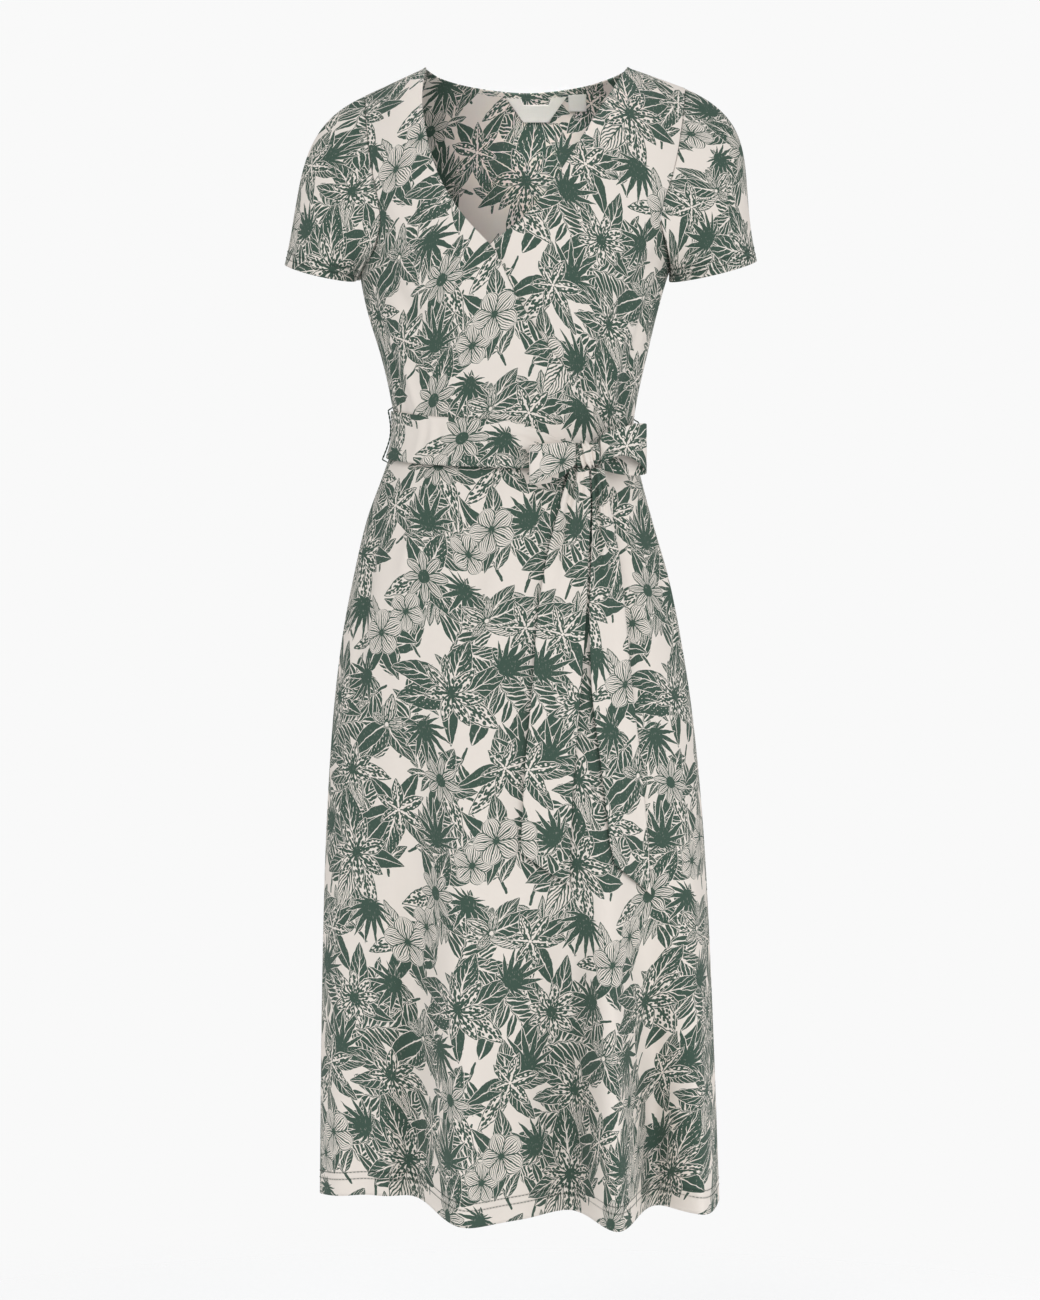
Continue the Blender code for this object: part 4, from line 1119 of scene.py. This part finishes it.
def belt_points(u, v):
    """Round the waist from the knot to the knot; v goes down."""
    turn = knot_turn + BAND_CLEAR + (360 - 2 * BAND_CLEAR) * u
    near = ease(np.minimum(u, 1 - u) / BELT_TAPER)
    middle = waist_height(turn)
    middle = middle + (KNOT[2] - middle) * (1 - near)
    z = middle + BELT_HIGH * (BELT_PINCH + (1 - BELT_PINCH) * near) * (0.5 - v)
    ends = np.minimum(u, 1 - u)
    drawn = sum(
        deep * np.exp(-(((v - place) / half) ** 2)) * ease(1 - ends / run)
        for place, half, deep, run in BAND_FOLDS
    )
    rounded = -BAND_ROUND[0] * (2 - ease(v / BAND_ROUND[1]) - ease((1 - v) / BAND_ROUND[1]))
    in_front = ease((np.cos(np.radians(turn)) + BAND_FRONT[0]) / BAND_FRONT[1])
    rounded = rounded + in_front * BAND_SAG * v * v - (1 - in_front) * BAND_CLOSE
    deep, beats, slant = BAND_WAVES
    rounded = rounded + deep * np.sin(beats * math.pi * u + slant * v) * np.sin(math.pi * v)
    drawn = drawn * ease(ends / BAND_START)
    return ring_point(turn, z, BELT_OUT + BELT_END_OUT * (1 - near) + drawn + rounded)


points = belt_points(*cloth_grid(420, 18))
belt = add_sheet("belt_band", points, BELT_CLOTH, from_axis, shift=(164, 228))

# ---------------------------------------------------------------- ends of the belt
# The two free ends, the same flat tube, hang from the knot and lie on the skirt. They are gathered under the
# knot, open out in soft pleats and end in a slanted cut.
BOW_CLOTH = 0.0012  # the wall of a loop or an end that is drawn up
TAIL_SLANT = 0.032  # how much longer one edge is than the other at its cut end
TAIL_PLEAT = 0.14  # depth of its pleats as a part of its half width
TAIL_OUT = 0.0050  # its outer face off the dress
TAIL_GATHER = 0.0016  # height of the narrow gathers just under the knot
TAIL_LIFT = 0.0015  # how far the loose end stands off
TAIL_CUT = 0.9  # part of its length at which its slanted end begins
PLEAT_LONG = 0.45  # part of its length at which its pleats have died out
GATHER_SPAN = (0.10, 0.13)  # where its narrow gathers are deepest, and how far they reach
GATHER_WAVE = (3, 0.6)  # how many of them lie side by side, and how far they are shifted
TAIL_WAVE = (0.0010, 4, 9, 0.2)  # its slight waves: depth, turns across, turns along, where they are full
KNOT_DRAW = 0.12  # part of its length over which it leaves the knot
UPPER_TAIL = (
    # z, middle x, half width
    (-0.4038, 0.0612, 0.0088),
    (-0.4400, 0.0575, 0.0150),
    (-0.4900, 0.0500, 0.0200),
    (-0.5500, 0.0440, 0.0232),
    (-0.6200, 0.0390, 0.0235),
    (-0.7000, 0.0320, 0.0235),
    (-0.7900, 0.0275, 0.0235),
)
LOWER_TAIL = (
    (-0.4038, 0.0785, 0.0060),
    (-0.4400, 0.0830, 0.0090),
    (-0.4900, 0.0870, 0.0140),
    (-0.5500, 0.0890, 0.0180),
    (-0.6200, 0.0935, 0.0200),
    (-0.7000, 0.1030, 0.0195),
    (-0.8010, 0.1130, 0.0180),
)


def tail_points(table, u, v):
    """A free end of the belt, laid on the skirt: u across, v down."""
    top, low = table[0][0], table[-1][0]
    level = top + (low - top) * v
    x_mid, half = read_row(table, level)
    across = 2 * u - 1
    x = x_mid + across * half
    z = level - TAIL_SLANT / 2 * across * ease((v - TAIL_CUT) / (1 - TAIL_CUT))
    point = ring_point(turn_at(x, z), z, TAIL_OUT)
    pleats = TAIL_PLEAT * half * (1 - ease(v / PLEAT_LONG)) * np.cos(2 * math.pi * across)
    narrow = np.cos(GATHER_WAVE[0] * math.pi * across + GATHER_WAVE[1])
    narrow = narrow * np.exp(-(((v - GATHER_SPAN[0]) / GATHER_SPAN[1]) ** 2))
    wave, turns_across, turns_along, full = TAIL_WAVE
    wave = wave * np.sin(turns_across * across + turns_along * v) * ease(v / full)
    pleats = pleats + TAIL_GATHER * narrow + wave + TAIL_LIFT * ease(2 * v - 1)
    fullness = (KNOT[1] - point[..., 1]) * (1 - ease(v / KNOT_DRAW))
    return np.stack((x, point[..., 1] - pleats + fullness, z), axis=-1)


def towards_viewer(points):
    return points * 0 + np.array((0.0, -1.0, 0.0))


TAILS = (
    # name, its table, shift of the print (mm)
    ("belt_tail_right", UPPER_TAIL, (12, 30)),
    ("belt_tail_left", LOWER_TAIL, (90, 70)),
)
for name, table, shift in TAILS:
    points = tail_points(table, *cloth_grid(26, 130))
    tail = add_sheet(name, points, BOW_CLOTH, towards_viewer, shift=shift)

# ---------------------------------------------------------------- loops of the bow
# Two short loops of the same tube, gathered where the knot holds them. They hang a little open, so that the
# inside of the cloth shows.
KNOT_HALF = (0.0125, 0.0100, 0.0125)  # half the knot's width, depth and height
LOOP_DEEP = 0.0085  # half the depth of a loop from front to back
LOOP_MOUTH = 24.0  # degrees of its round that the knot hides on each side
LOOP_GATHER = 0.0022  # height of its gathers at the knot
LOOP_SWELL = 0.6  # less than 1: it is nearly as high as it gets soon after the knot
GATHER_SHAPE = (1.3, 0.7, 3.4, 0.08)  # how fast its gathers fade, where they start, how many, where full
HOLLOW_SHAPE = (0.8, 0.45)  # how its open mouth is placed along it, and which part of its height it takes
LOOP_HOLLOWS = {
    # how far the lower edge of its front is drawn up and that of its back hangs down, so its inside shows
    "bow_loop_right": (0.0020, 0.0065),
    "bow_loop_left": (0.0115, 0.0000),
}
BOW_LOOPS = (
    # name, side, length, half height at the knot, half height at the end, rise at the knot, rise at the end,
    # lean towards the viewer, lift of the front over the back
    ("bow_loop_right", -1, 0.046, 0.0095, 0.0190, 0.000, -0.0115, 0.32, -0.001),
    ("bow_loop_left", 1, 0.053, 0.0135, 0.0235, 0.004, 0.0070, -0.52, 0.004),
)


def loop_points(hollows, side, length, half_near, half_far, rise_near, rise_far, lean, lift, u, v):
    """A ribbon that leaves the front of the knot, turns over at its far end and comes back behind."""
    outwards = unit((side, -lean, 0))
    forwards = unit((-lean * side, -1, 0))
    base = KNOT + outwards * (KNOT_HALF[0] + SEAM)
    angle = np.radians(LOOP_MOUTH + (360 - 2 * LOOP_MOUTH) * u)
    away = (1 - np.cos(angle)) / 2
    start = (1 - math.cos(math.radians(LOOP_MOUTH))) / 2
    far = np.maximum(0.0, (away - start) / (1 - start))
    high = half_near + (half_far - half_near) * far**LOOP_SWELL
    branch = np.sin(angle)
    fade, first, many, full = GATHER_SHAPE
    gathers = LOOP_GATHER * (1 - far) ** fade * np.sin(math.pi * (first + many * v)) * ease(far / full)
    hollow = np.where(branch > 0, hollows[0], -hollows[1]) * np.sin(math.pi * far ** HOLLOW_SHAPE[0])
    hollow = hollow * ease((v - HOLLOW_SHAPE[1]) / (1 - HOLLOW_SHAPE[1]))
    rise = rise_near + (rise_far - rise_near) * far + lift * branch * far**0.5 + high * (1 - 2 * v) + hollow
    middle = base + outwards * (length * far)[..., None]
    middle = middle + forwards * (LOOP_DEEP * branch + gathers * np.sign(branch))[..., None]
    middle[..., 2] += rise
    return middle


LOOP_ASIDE = 0.2  # keeps its flat cloth clear of the heights at which hems are sewn
LOOP_PRINTS = {"bow_loop_right": (123, 87), "bow_loop_left": (134, 210)}  # shift of the print (mm)
for name, *sizes in BOW_LOOPS:
    points = loop_points(LOOP_HOLLOWS[name], *sizes, *cloth_grid(96, 22))
    side, length, lean = sizes[0], sizes[1], sizes[6]
    middle_of_loop = KNOT + unit((side, -lean, 0)) * (length / 2 + KNOT_HALF[0])
    flat = grid_flat(points)[..., ::-1] - (0.0, LOOP_ASIDE)
    loop = add_sheet(
        name, points, BOW_CLOTH,
        lambda middles, middle=middle_of_loop: (middles - middle) * np.array((1, 1, 0)),
        flat, shift=LOOP_PRINTS[name],
    )

# ---------------------------------------------------------------- knot of the bow
# The knot is the same tube once more: one end is drawn up over the other, so the cloth crosses it in steep
# folds.
KNOT_FOLDS = (
    # place across the knot, depth as a part of its size, half width
    (0.70, 0.22, 0.11),
    (0.36, 0.34, 0.09),
    (0.04, 0.24, 0.08),
    (-0.32, 0.36, 0.10),
    (-0.68, 0.24, 0.11),
)
KNOT_TALL = 1.16  # how much taller the folded knot is than its block
KNOT_SQUARE = 0.72  # less than 1: boxier than a ball
KNOT_LEAN = 0.30  # how far its folds slant
KNOT_CLOTH = (1.6, 1.5)  # how much cloth is drawn up in it, round it and up it
bpy.ops.object.select_all(action="DESELECT")
bpy.ops.mesh.primitive_cube_add(size=2)
knot = bpy.context.object
knot.name = knot.data.name = "belt_knot_folds"
edit_all(bpy.ops.mesh.subdivide, number_cuts=27)
shape = np.empty(len(knot.data.vertices) * 3)
knot.data.vertices.foreach_get("co", shape)
shape = unit(shape.reshape(-1, 3))
leaning = shape[:, 0] + KNOT_LEAN * shape[:, 2]
groove = sum(deep * np.exp(-(((leaning - place) / half) ** 2)) for place, deep, half in KNOT_FOLDS)
boxy = np.sign(shape) * np.abs(shape) ** KNOT_SQUARE
knot_size = np.array((KNOT_HALF[0], KNOT_HALF[1], KNOT_HALF[2] * KNOT_TALL))
knot_points = KNOT + knot_size * boxy * (1 - groove)[:, None]
knot.data.vertices.foreach_set("co", knot_points.ravel())
around = np.arctan2(shape[:, 0], -shape[:, 1]) * KNOT_HALF[0] * KNOT_CLOTH[0]
lay_flat(knot.data, np.stack((around, knot_points[:, 2] * KNOT_CLOTH[1]), axis=-1))
finish_piece(knot, jersey, "belt_knot")
stamp_print(knot, (122, 226))

# ---------------------------------------------------------------- labels
# Two woven satin tabs, the size label beside the neck label, caught in the row that holds the turned back
# neck edge. They are left blank.
LABEL_CLOTH = 0.0008
NECK_LABEL = ((0.0, 0.0205, 0.0310), (1.0, 0.0205, 0.0127))  # part of the height, middle x, half width
SIZE_LABEL = ((0.0, 0.0625, 0.0090), (1.0, 0.0632, 0.0090))
NECK_LABEL_Z = (-0.0155, -0.0388)  # heights of its top and foot
SIZE_LABEL_Z = (-0.0135, -0.0291)
LABEL_CLEAR = 0.0014  # from the inside of the back
NOTCH_ACROSS = 0.5  # parts of the neck label's width and height that the notch in its top takes
NOTCH_DOWN = 2 / 7
label_satin, label_shader = new_material(
    "woven_polyester_satin", Roughness=0.55, Specular_IOR_Level=0.4, Sheen_Weight=0.2, Sheen_Roughness=0.4
)
label_tree = label_satin.node_tree
label_mm = add(label_tree, "ShaderNodeUVMap", uv_map="cloth")
label_mm = add(label_tree, VECTOR, label_mm, 1000.0, operation="SCALE")
weft = add(label_tree, "ShaderNodeTexWave", label_mm, 1.4, 0.6, bands_direction="Y")
weave_colour = add(
    label_tree, "ShaderNodeMix", weft.outputs["Fac"], hex_colour("F3EFE6"), hex_colour("FBF8F2"),
    data_type="RGBA",
)
label_tree.links.new(first_output(weave_colour), label_shader.inputs["Base Color"])
label_bump = add(label_tree, "ShaderNodeBump", 0.4, 0.0002, None, weft.outputs["Fac"])
label_tree.links.new(label_bump.outputs["Normal"], label_shader.inputs["Normal"])


def label_points(table, heights, u, v):
    """A tab on the inside of the back."""
    middle, half = read_row(table, v)
    x = middle + half * (2 * u - 1)
    z = heights[0] + (heights[1] - heights[0]) * v
    turn, down = on_bodice(turn_at(x, z, True), z)
    return bodice_point(turn, down, -CLOTH - LABEL_CLEAR)


def inwards_face(points):
    return points * 0 + np.array((0.0, 1.0, 0.0))


LABELS = (
    # name, its table, heights, columns, rows, flat size, flat area, whether its top is notched
    ("neck_label", NECK_LABEL, NECK_LABEL_Z, 48, 28, (0.062, 0.024), 0.00095, True),
    ("size_label", SIZE_LABEL, SIZE_LABEL_Z, 16, 16, (0.018, 0.030), 0.00040, False),
)
for name, table, heights, columns, rows, size, area, notched in LABELS:
    u, v = cloth_grid(columns, rows)
    points = label_points(table, heights, u, v)
    u, v = (u[:-1, :-1] + u[1:, 1:]) / 2, (v[:-1, :-1] + v[1:, 1:]) / 2
    cut = (v < NOTCH_DOWN) & (np.abs(2 * u - 1) < NOTCH_ACROSS) & notched
    tab = add_sheet(name, points, LABEL_CLOTH, inwards_face, finish=label_satin, cut=cut)

# ---------------------------------------------------------------- belt carriers
# A thread loop at each side seam keeps the belt in place: two strands of sewing thread twisted together and
# caught in the seam above and below the belt.
CARRIER_THICK = 0.0018  # both strands together
CARRIER_LIFT = 0.0008  # off the belt
CARRIER_SLACK = 0.0016  # how much more it stands off towards its lower end
CARRIER_REACH = 0.0045  # past each edge of the belt
CARRIER_LEAVE = 0.0005  # how far past the belt's edge it starts to turn in
CARRIER_STEPS = 60  # points along a strand, and how many of them make one turn of the twist
CARRIER_TWIST = 9
scene = bpy.context.scene
thread, thread_shader = new_material("spun_polyester_thread", Roughness=0.7, Specular_IOR_Level=0.3)
thread_tree = thread.node_tree
place = add(thread_tree, "ShaderNodeTexCoord").outputs["Object"]
fuzz = add(thread_tree, "ShaderNodeTexNoise", place, 1400.0, 2.0)
fuzz_colour = add(
    thread_tree, "ShaderNodeMix", fuzz.outputs[0], hex_colour("34433B"), hex_colour("4A5F54"),
    data_type="RGBA",
)
thread_tree.links.new(first_output(fuzz_colour), thread_shader.inputs["Base Color"])
for name, carrier_turn in (("belt_carrier_right", -90.0), ("belt_carrier_left", 90.0)):
    part = np.linspace(-1, 1, CARRIER_STEPS)
    half = BELT_HIGH / 2 + CARRIER_REACH
    past_belt = np.abs(part) * half - BELT_HIGH / 2 - CARRIER_LEAVE
    over = 1 - ease(past_belt / (CARRIER_REACH - CARRIER_LEAVE))
    out = BELT_OUT - BAND_CLOSE + CARRIER_THICK / 2 + CARRIER_LIFT + CARRIER_SLACK * ease((1 + part) / 2)
    route = ring_point(np.full_like(part, carrier_turn), waist_height(carrier_turn) - part * half, out * over)
    strands = []
    for strand in range(2):
        line = bpy.data.curves.new(name + "_strand", "CURVE")
        line.dimensions = "3D"
        line.bevel_depth = CARRIER_THICK / 4
        line.bevel_resolution = 2
        line.use_fill_caps = True
        spline = line.splines.new("POLY")
        spline.points.add(len(route) - 1)
        for step, (point, knot_of_line) in enumerate(zip(route, spline.points)):
            twist = math.pi * strand + 2 * math.pi * step / CARRIER_TWIST
            aside, rise = CARRIER_THICK / 4 * math.cos(twist), CARRIER_THICK / 4 * math.sin(twist)
            knot_of_line.co = (point[0] + rise * np.sign(point[0]), point[1] + aside, point[2], 1)
        strands.append(bpy.data.objects.new(name + "_twist", line))
        scene.collection.objects.link(strands[-1])
    bpy.ops.object.select_all(action="DESELECT")
    for strand_object in strands:
        strand_object.select_set(True)
    bpy.context.view_layer.objects.active = strands[0]
    bpy.ops.object.convert(target="MESH")
    bpy.ops.object.join()
    carrier = bpy.context.object
    carrier.name = carrier.data.name = name + "_twist"
    edit_all(bpy.ops.mesh.remove_doubles, threshold=MERGE)
    finish_piece(carrier, thread, name)

# ---------------------------------------------------------------- stitching
# Twin-needle rows close the sleeve hems and the skirt hem, and one row holds the turned back neck edge and
# the labels. Each stitch is a short padded lens of thread that sinks into the cloth at both ends.
STITCH = 0.0030  # length of one stitch
STITCH_GAP = 0.0008  # to the next one
STITCH_THICK = 0.00055
STITCH_ENDS = 0.25  # how thick a stitch is at its ends, as a part of its middle
STITCH_PROUD = 0.42  # part of its thickness that its middle stands above the cloth
STITCH_RING = 6  # points round a stitch
STITCH_STATIONS = (0.0, 0.25, 0.5, 0.75, 1.0)
STITCH_LENS = 0.6  # less than 1: a stitch is full along most of its length
AHEAD = 0.0005  # how far ahead the row is looked at for its direction
NOT_NOTHING = 1e-9  # gives a direction even where nothing lies ahead


def sew_row(path, normals):
    """Points and faces of the stitches along a line on the cloth."""
    length = np.concatenate(([0.0], np.cumsum(np.linalg.norm(np.diff(path, axis=0), axis=1))))
    points, faces = [], []
    ring, stations = STITCH_RING, STITCH_STATIONS
    begin = 0.0
    while begin + STITCH < length[-1]:
        base = len(points)
        for station in stations:
            at = begin + STITCH * station
            here = np.array([np.interp(at, length, path[:, axis]) for axis in range(3)])
            ahead = np.array([np.interp(at + AHEAD, length, path[:, axis]) for axis in range(3)])
            normal = unit([np.interp(at, length, normals[:, axis]) for axis in range(3)])
            along = unit(ahead - here + NOT_NOTHING)
            side = np.cross(along, normal)
            lens = math.sin(math.pi * station)
            swell = STITCH_THICK * (STITCH_ENDS + (1 - STITCH_ENDS) * lens**STITCH_LENS) / 2
            centre = here + normal * (STITCH_THICK * STITCH_PROUD * lens)
            for corner in range(ring):
                angle = 2 * math.pi * corner / ring
                points.append(centre + swell * (math.cos(angle) * side + math.sin(angle) * normal))
        for station in range(len(stations) - 1):
            for corner in range(ring):
                a = base + station * ring + corner
                b = base + station * ring + (corner + 1) % ring
                faces.append((a, b, b + ring, a + ring))
        faces.append(tuple(base + corner for corner in reversed(range(ring))))
        faces.append(tuple(base + (len(stations) - 1) * ring + corner for corner in range(ring)))
        begin += STITCH + STITCH_GAP
    return points, faces


def surface_line(surface, u, v, outwards):
    """Points of a surface along u at one v, and its normals there."""
    here = surface(u, v)
    step = 1e-4
    across = surface(u + step, v) - surface(u - step, v)
    normals = unit(np.cross(across, surface(u, v + step) - surface(u, v - step)))
    return here, normals * np.sign((normals * outwards(here)).sum(axis=-1, keepdims=True))


def sew(name, rows):
    """All the stitch rows of one piece as one mesh."""
    points, faces = [], []
    for path, normals in rows:
        new_points, new_faces = sew_row(path, normals)
        faces += [tuple(corner + len(points) for corner in face) for face in new_faces]
        points += new_points
    mesh = bpy.data.meshes.new(name)
    mesh.from_pydata([tuple(point) for point in points], [], faces)
    stitches = bpy.data.objects.new(name, mesh)
    scene.collection.objects.link(stitches)
    bpy.ops.object.select_all(action="DESELECT")
    stitches.select_set(True)
    bpy.context.view_layer.objects.active = stitches
    edit_all(bpy.ops.mesh.normals_make_consistent, inside=False)
    finish_piece(stitches, thread)


ROW_CLEAR = 0.08  # a row ends this near the seam above it, as a part of the cloth's length there
HEM_ROW = (0.003, 0.997, 500)  # parts of the way round where a row starts and ends, and its points


def hem_rows(surface, u, deeper, outwards):
    """The twin-needle rows above the hem of a surface. Under the arm a sleeve is too short for them."""
    step = 0.01
    last = np.linalg.norm(surface(u, np.ones_like(u)) - surface(u, np.full_like(u, 1 - step)), axis=-1)
    rows = []
    for needle_row in NEEDLE_ROWS:
        v = 1 - (needle_row / 1000 + deeper) * step / last
        sewn = v > ROW_CLEAR
        rows.append(surface_line(surface, u[sewn], v[sewn], outwards))
    return rows


line = np.linspace(*HEM_ROW)
rows = []
for _name, first, last, *_rest in SKIRT_PANELS:
    rows += hem_rows(lambda u, v, a=first, b=last: skirt_points(a, b, u, v), line, SKIRT_HEM_MORE, from_axis)
sew("skirt_hem_stitches", rows)
for name, row in SLEEVES.items():
    rows = hem_rows(
        lambda u, v, row=row: sleeve_surface(row, u, v), line, 0.0,
        lambda points, row=row: from_sleeve(row, points) * np.array((1, 1, 0)),
    )
    sew(name.replace("sleeve", "sleeve_hem_stitches"), rows)

NECK_ROW = 0.0045  # below the back neck edge
NECK_ROW_SPAN = (-0.080, 0.100, 200)  # x where the row starts and ends, and its points
FURTHER_IN = 0.001  # how far inwards the cloth is looked at for the direction of its inside
LABEL_SPANS = ((-0.0105, 0.0515), (0.0535, 0.0715))  # where the row climbs onto the labels
LABEL_STEP = 0.002  # how far it takes to climb
x = np.linspace(*NECK_ROW_SPAN)
z = read_row([(x_, z_) for _part, x_, z_ in BACK_NECK], x)[0]
turn, down = on_bodice(turn_at(x, z, True), z)
on_label = sum(
    ease((x - low) / LABEL_STEP + 0.5) * ease((high - x) / LABEL_STEP + 0.5) for low, high in LABEL_SPANS
)
deep = CLOTH + on_label * (LABEL_CLEAR + LABEL_CLOTH)
path = bodice_point(turn, down + NECK_ROW, -deep)
inner = unit(bodice_point(turn, down + NECK_ROW, -deep - FURTHER_IN) - path)
sew("back_neck_stitches", [(path, inner)])

# ---------------------------------------------------------------- camera, light and floor
# The camera stands level in front of the dress. A soft even light comes from all round with a gentle key.
SIGHT = (0.004, -3.07, -0.58)  # where the camera stands
camera_data = bpy.data.cameras.new("camera")
camera_data.lens = 85
camera_data.sensor_fit = "VERTICAL"
camera_data.sensor_height = 36
camera = bpy.data.objects.new("camera", camera_data)
camera.location = SIGHT
camera.rotation_euler = (math.pi / 2, 0, 0)
scene.collection.objects.link(camera)
scene.camera = camera
scene.view_settings.view_transform = "Standard"

world = bpy.data.worlds.new("studio")
scene.world = world
world.use_nodes = True
sky = world.node_tree
backdrop = sky.nodes["Background"]
backdrop.inputs["Color"].default_value = hex_colour("F9F9F9")
soft_box = add(sky, "ShaderNodeBackground", hex_colour("F6F8FA"), 0.50)
straight = add(sky, "ShaderNodeLightPath").outputs["Is Camera Ray"]
sky.links.new(
    add(sky, "ShaderNodeMixShader", straight, soft_box, backdrop).outputs[0],
    sky.nodes["World Output"].inputs["Surface"],
)
LIGHTS = (
    # name, place, where it points, size, power, spread in degrees
    ("key", (-0.8, -2.6, 1.0), (0, 0, -0.4), 1.5, 24, 180),
    ("fill", (1.4, -2.5, -0.3), (0, 0, -0.6), 1.8, 20, 180),
    ("left_side", (-2.6, -0.5, -0.5), (0, 0, -0.6), 1.6, 10, 180),
    ("right_side", (2.6, -0.5, -0.5), (0, 0, -0.6), 1.6, 10, 180),
    ("neck_fill", (-0.35, -1.3, 0.75), (0.03, 0.075, -0.045), 0.1, 0.055, 8),
    ("rim", (0.6, 2.2, 1.2), (0, 0, -0.4), 1.6, 22, 180),
)
for name, place, target, size, power, spread in LIGHTS:
    light_data = bpy.data.lights.new(name, "AREA")
    light_data.size = size
    light_data.spread = math.radians(spread)
    light_data.energy = power
    light = bpy.data.objects.new(name, light_data)
    light.location = place
    light.rotation_euler = Vector(np.subtract(target, place)).to_track_quat("-Z", "Y").to_euler()
    scene.collection.objects.link(light)

# A disc of seamless paper under the dress; it fades out so that no edge of it shows behind.
FLOOR_Z = HEM_Z - 0.30
FLOOR_FADE = (0.7, 1.5)  # m from the middle
bpy.ops.object.select_all(action="DESELECT")
bpy.ops.mesh.primitive_circle_add(
    vertices=96, radius=FLOOR_FADE[1], fill_type="NGON", location=(0, 0, FLOOR_Z)
)
floor = bpy.context.object
floor.name = "floor"
paper_white = hex_colour("F9F9F9")
paper, paper_shader = new_material(
    "seamless_paper", Base_Color=paper_white, Roughness=0.95, Specular_IOR_Level=0.1,
    Emission_Color=paper_white, Emission_Strength=0.23,
)
sheet_tree = paper.node_tree
place = add(sheet_tree, VECTOR, add(sheet_tree, "ShaderNodeTexCoord").outputs["Object"], operation="LENGTH")
fade = add(sheet_tree, "ShaderNodeMapRange", place, *FLOOR_FADE, 1.0, 0.0, interpolation_type="SMOOTHSTEP")
sheet_tree.links.new(fade.outputs[0], paper_shader.inputs["Alpha"])
floor.data.materials.append(paper)
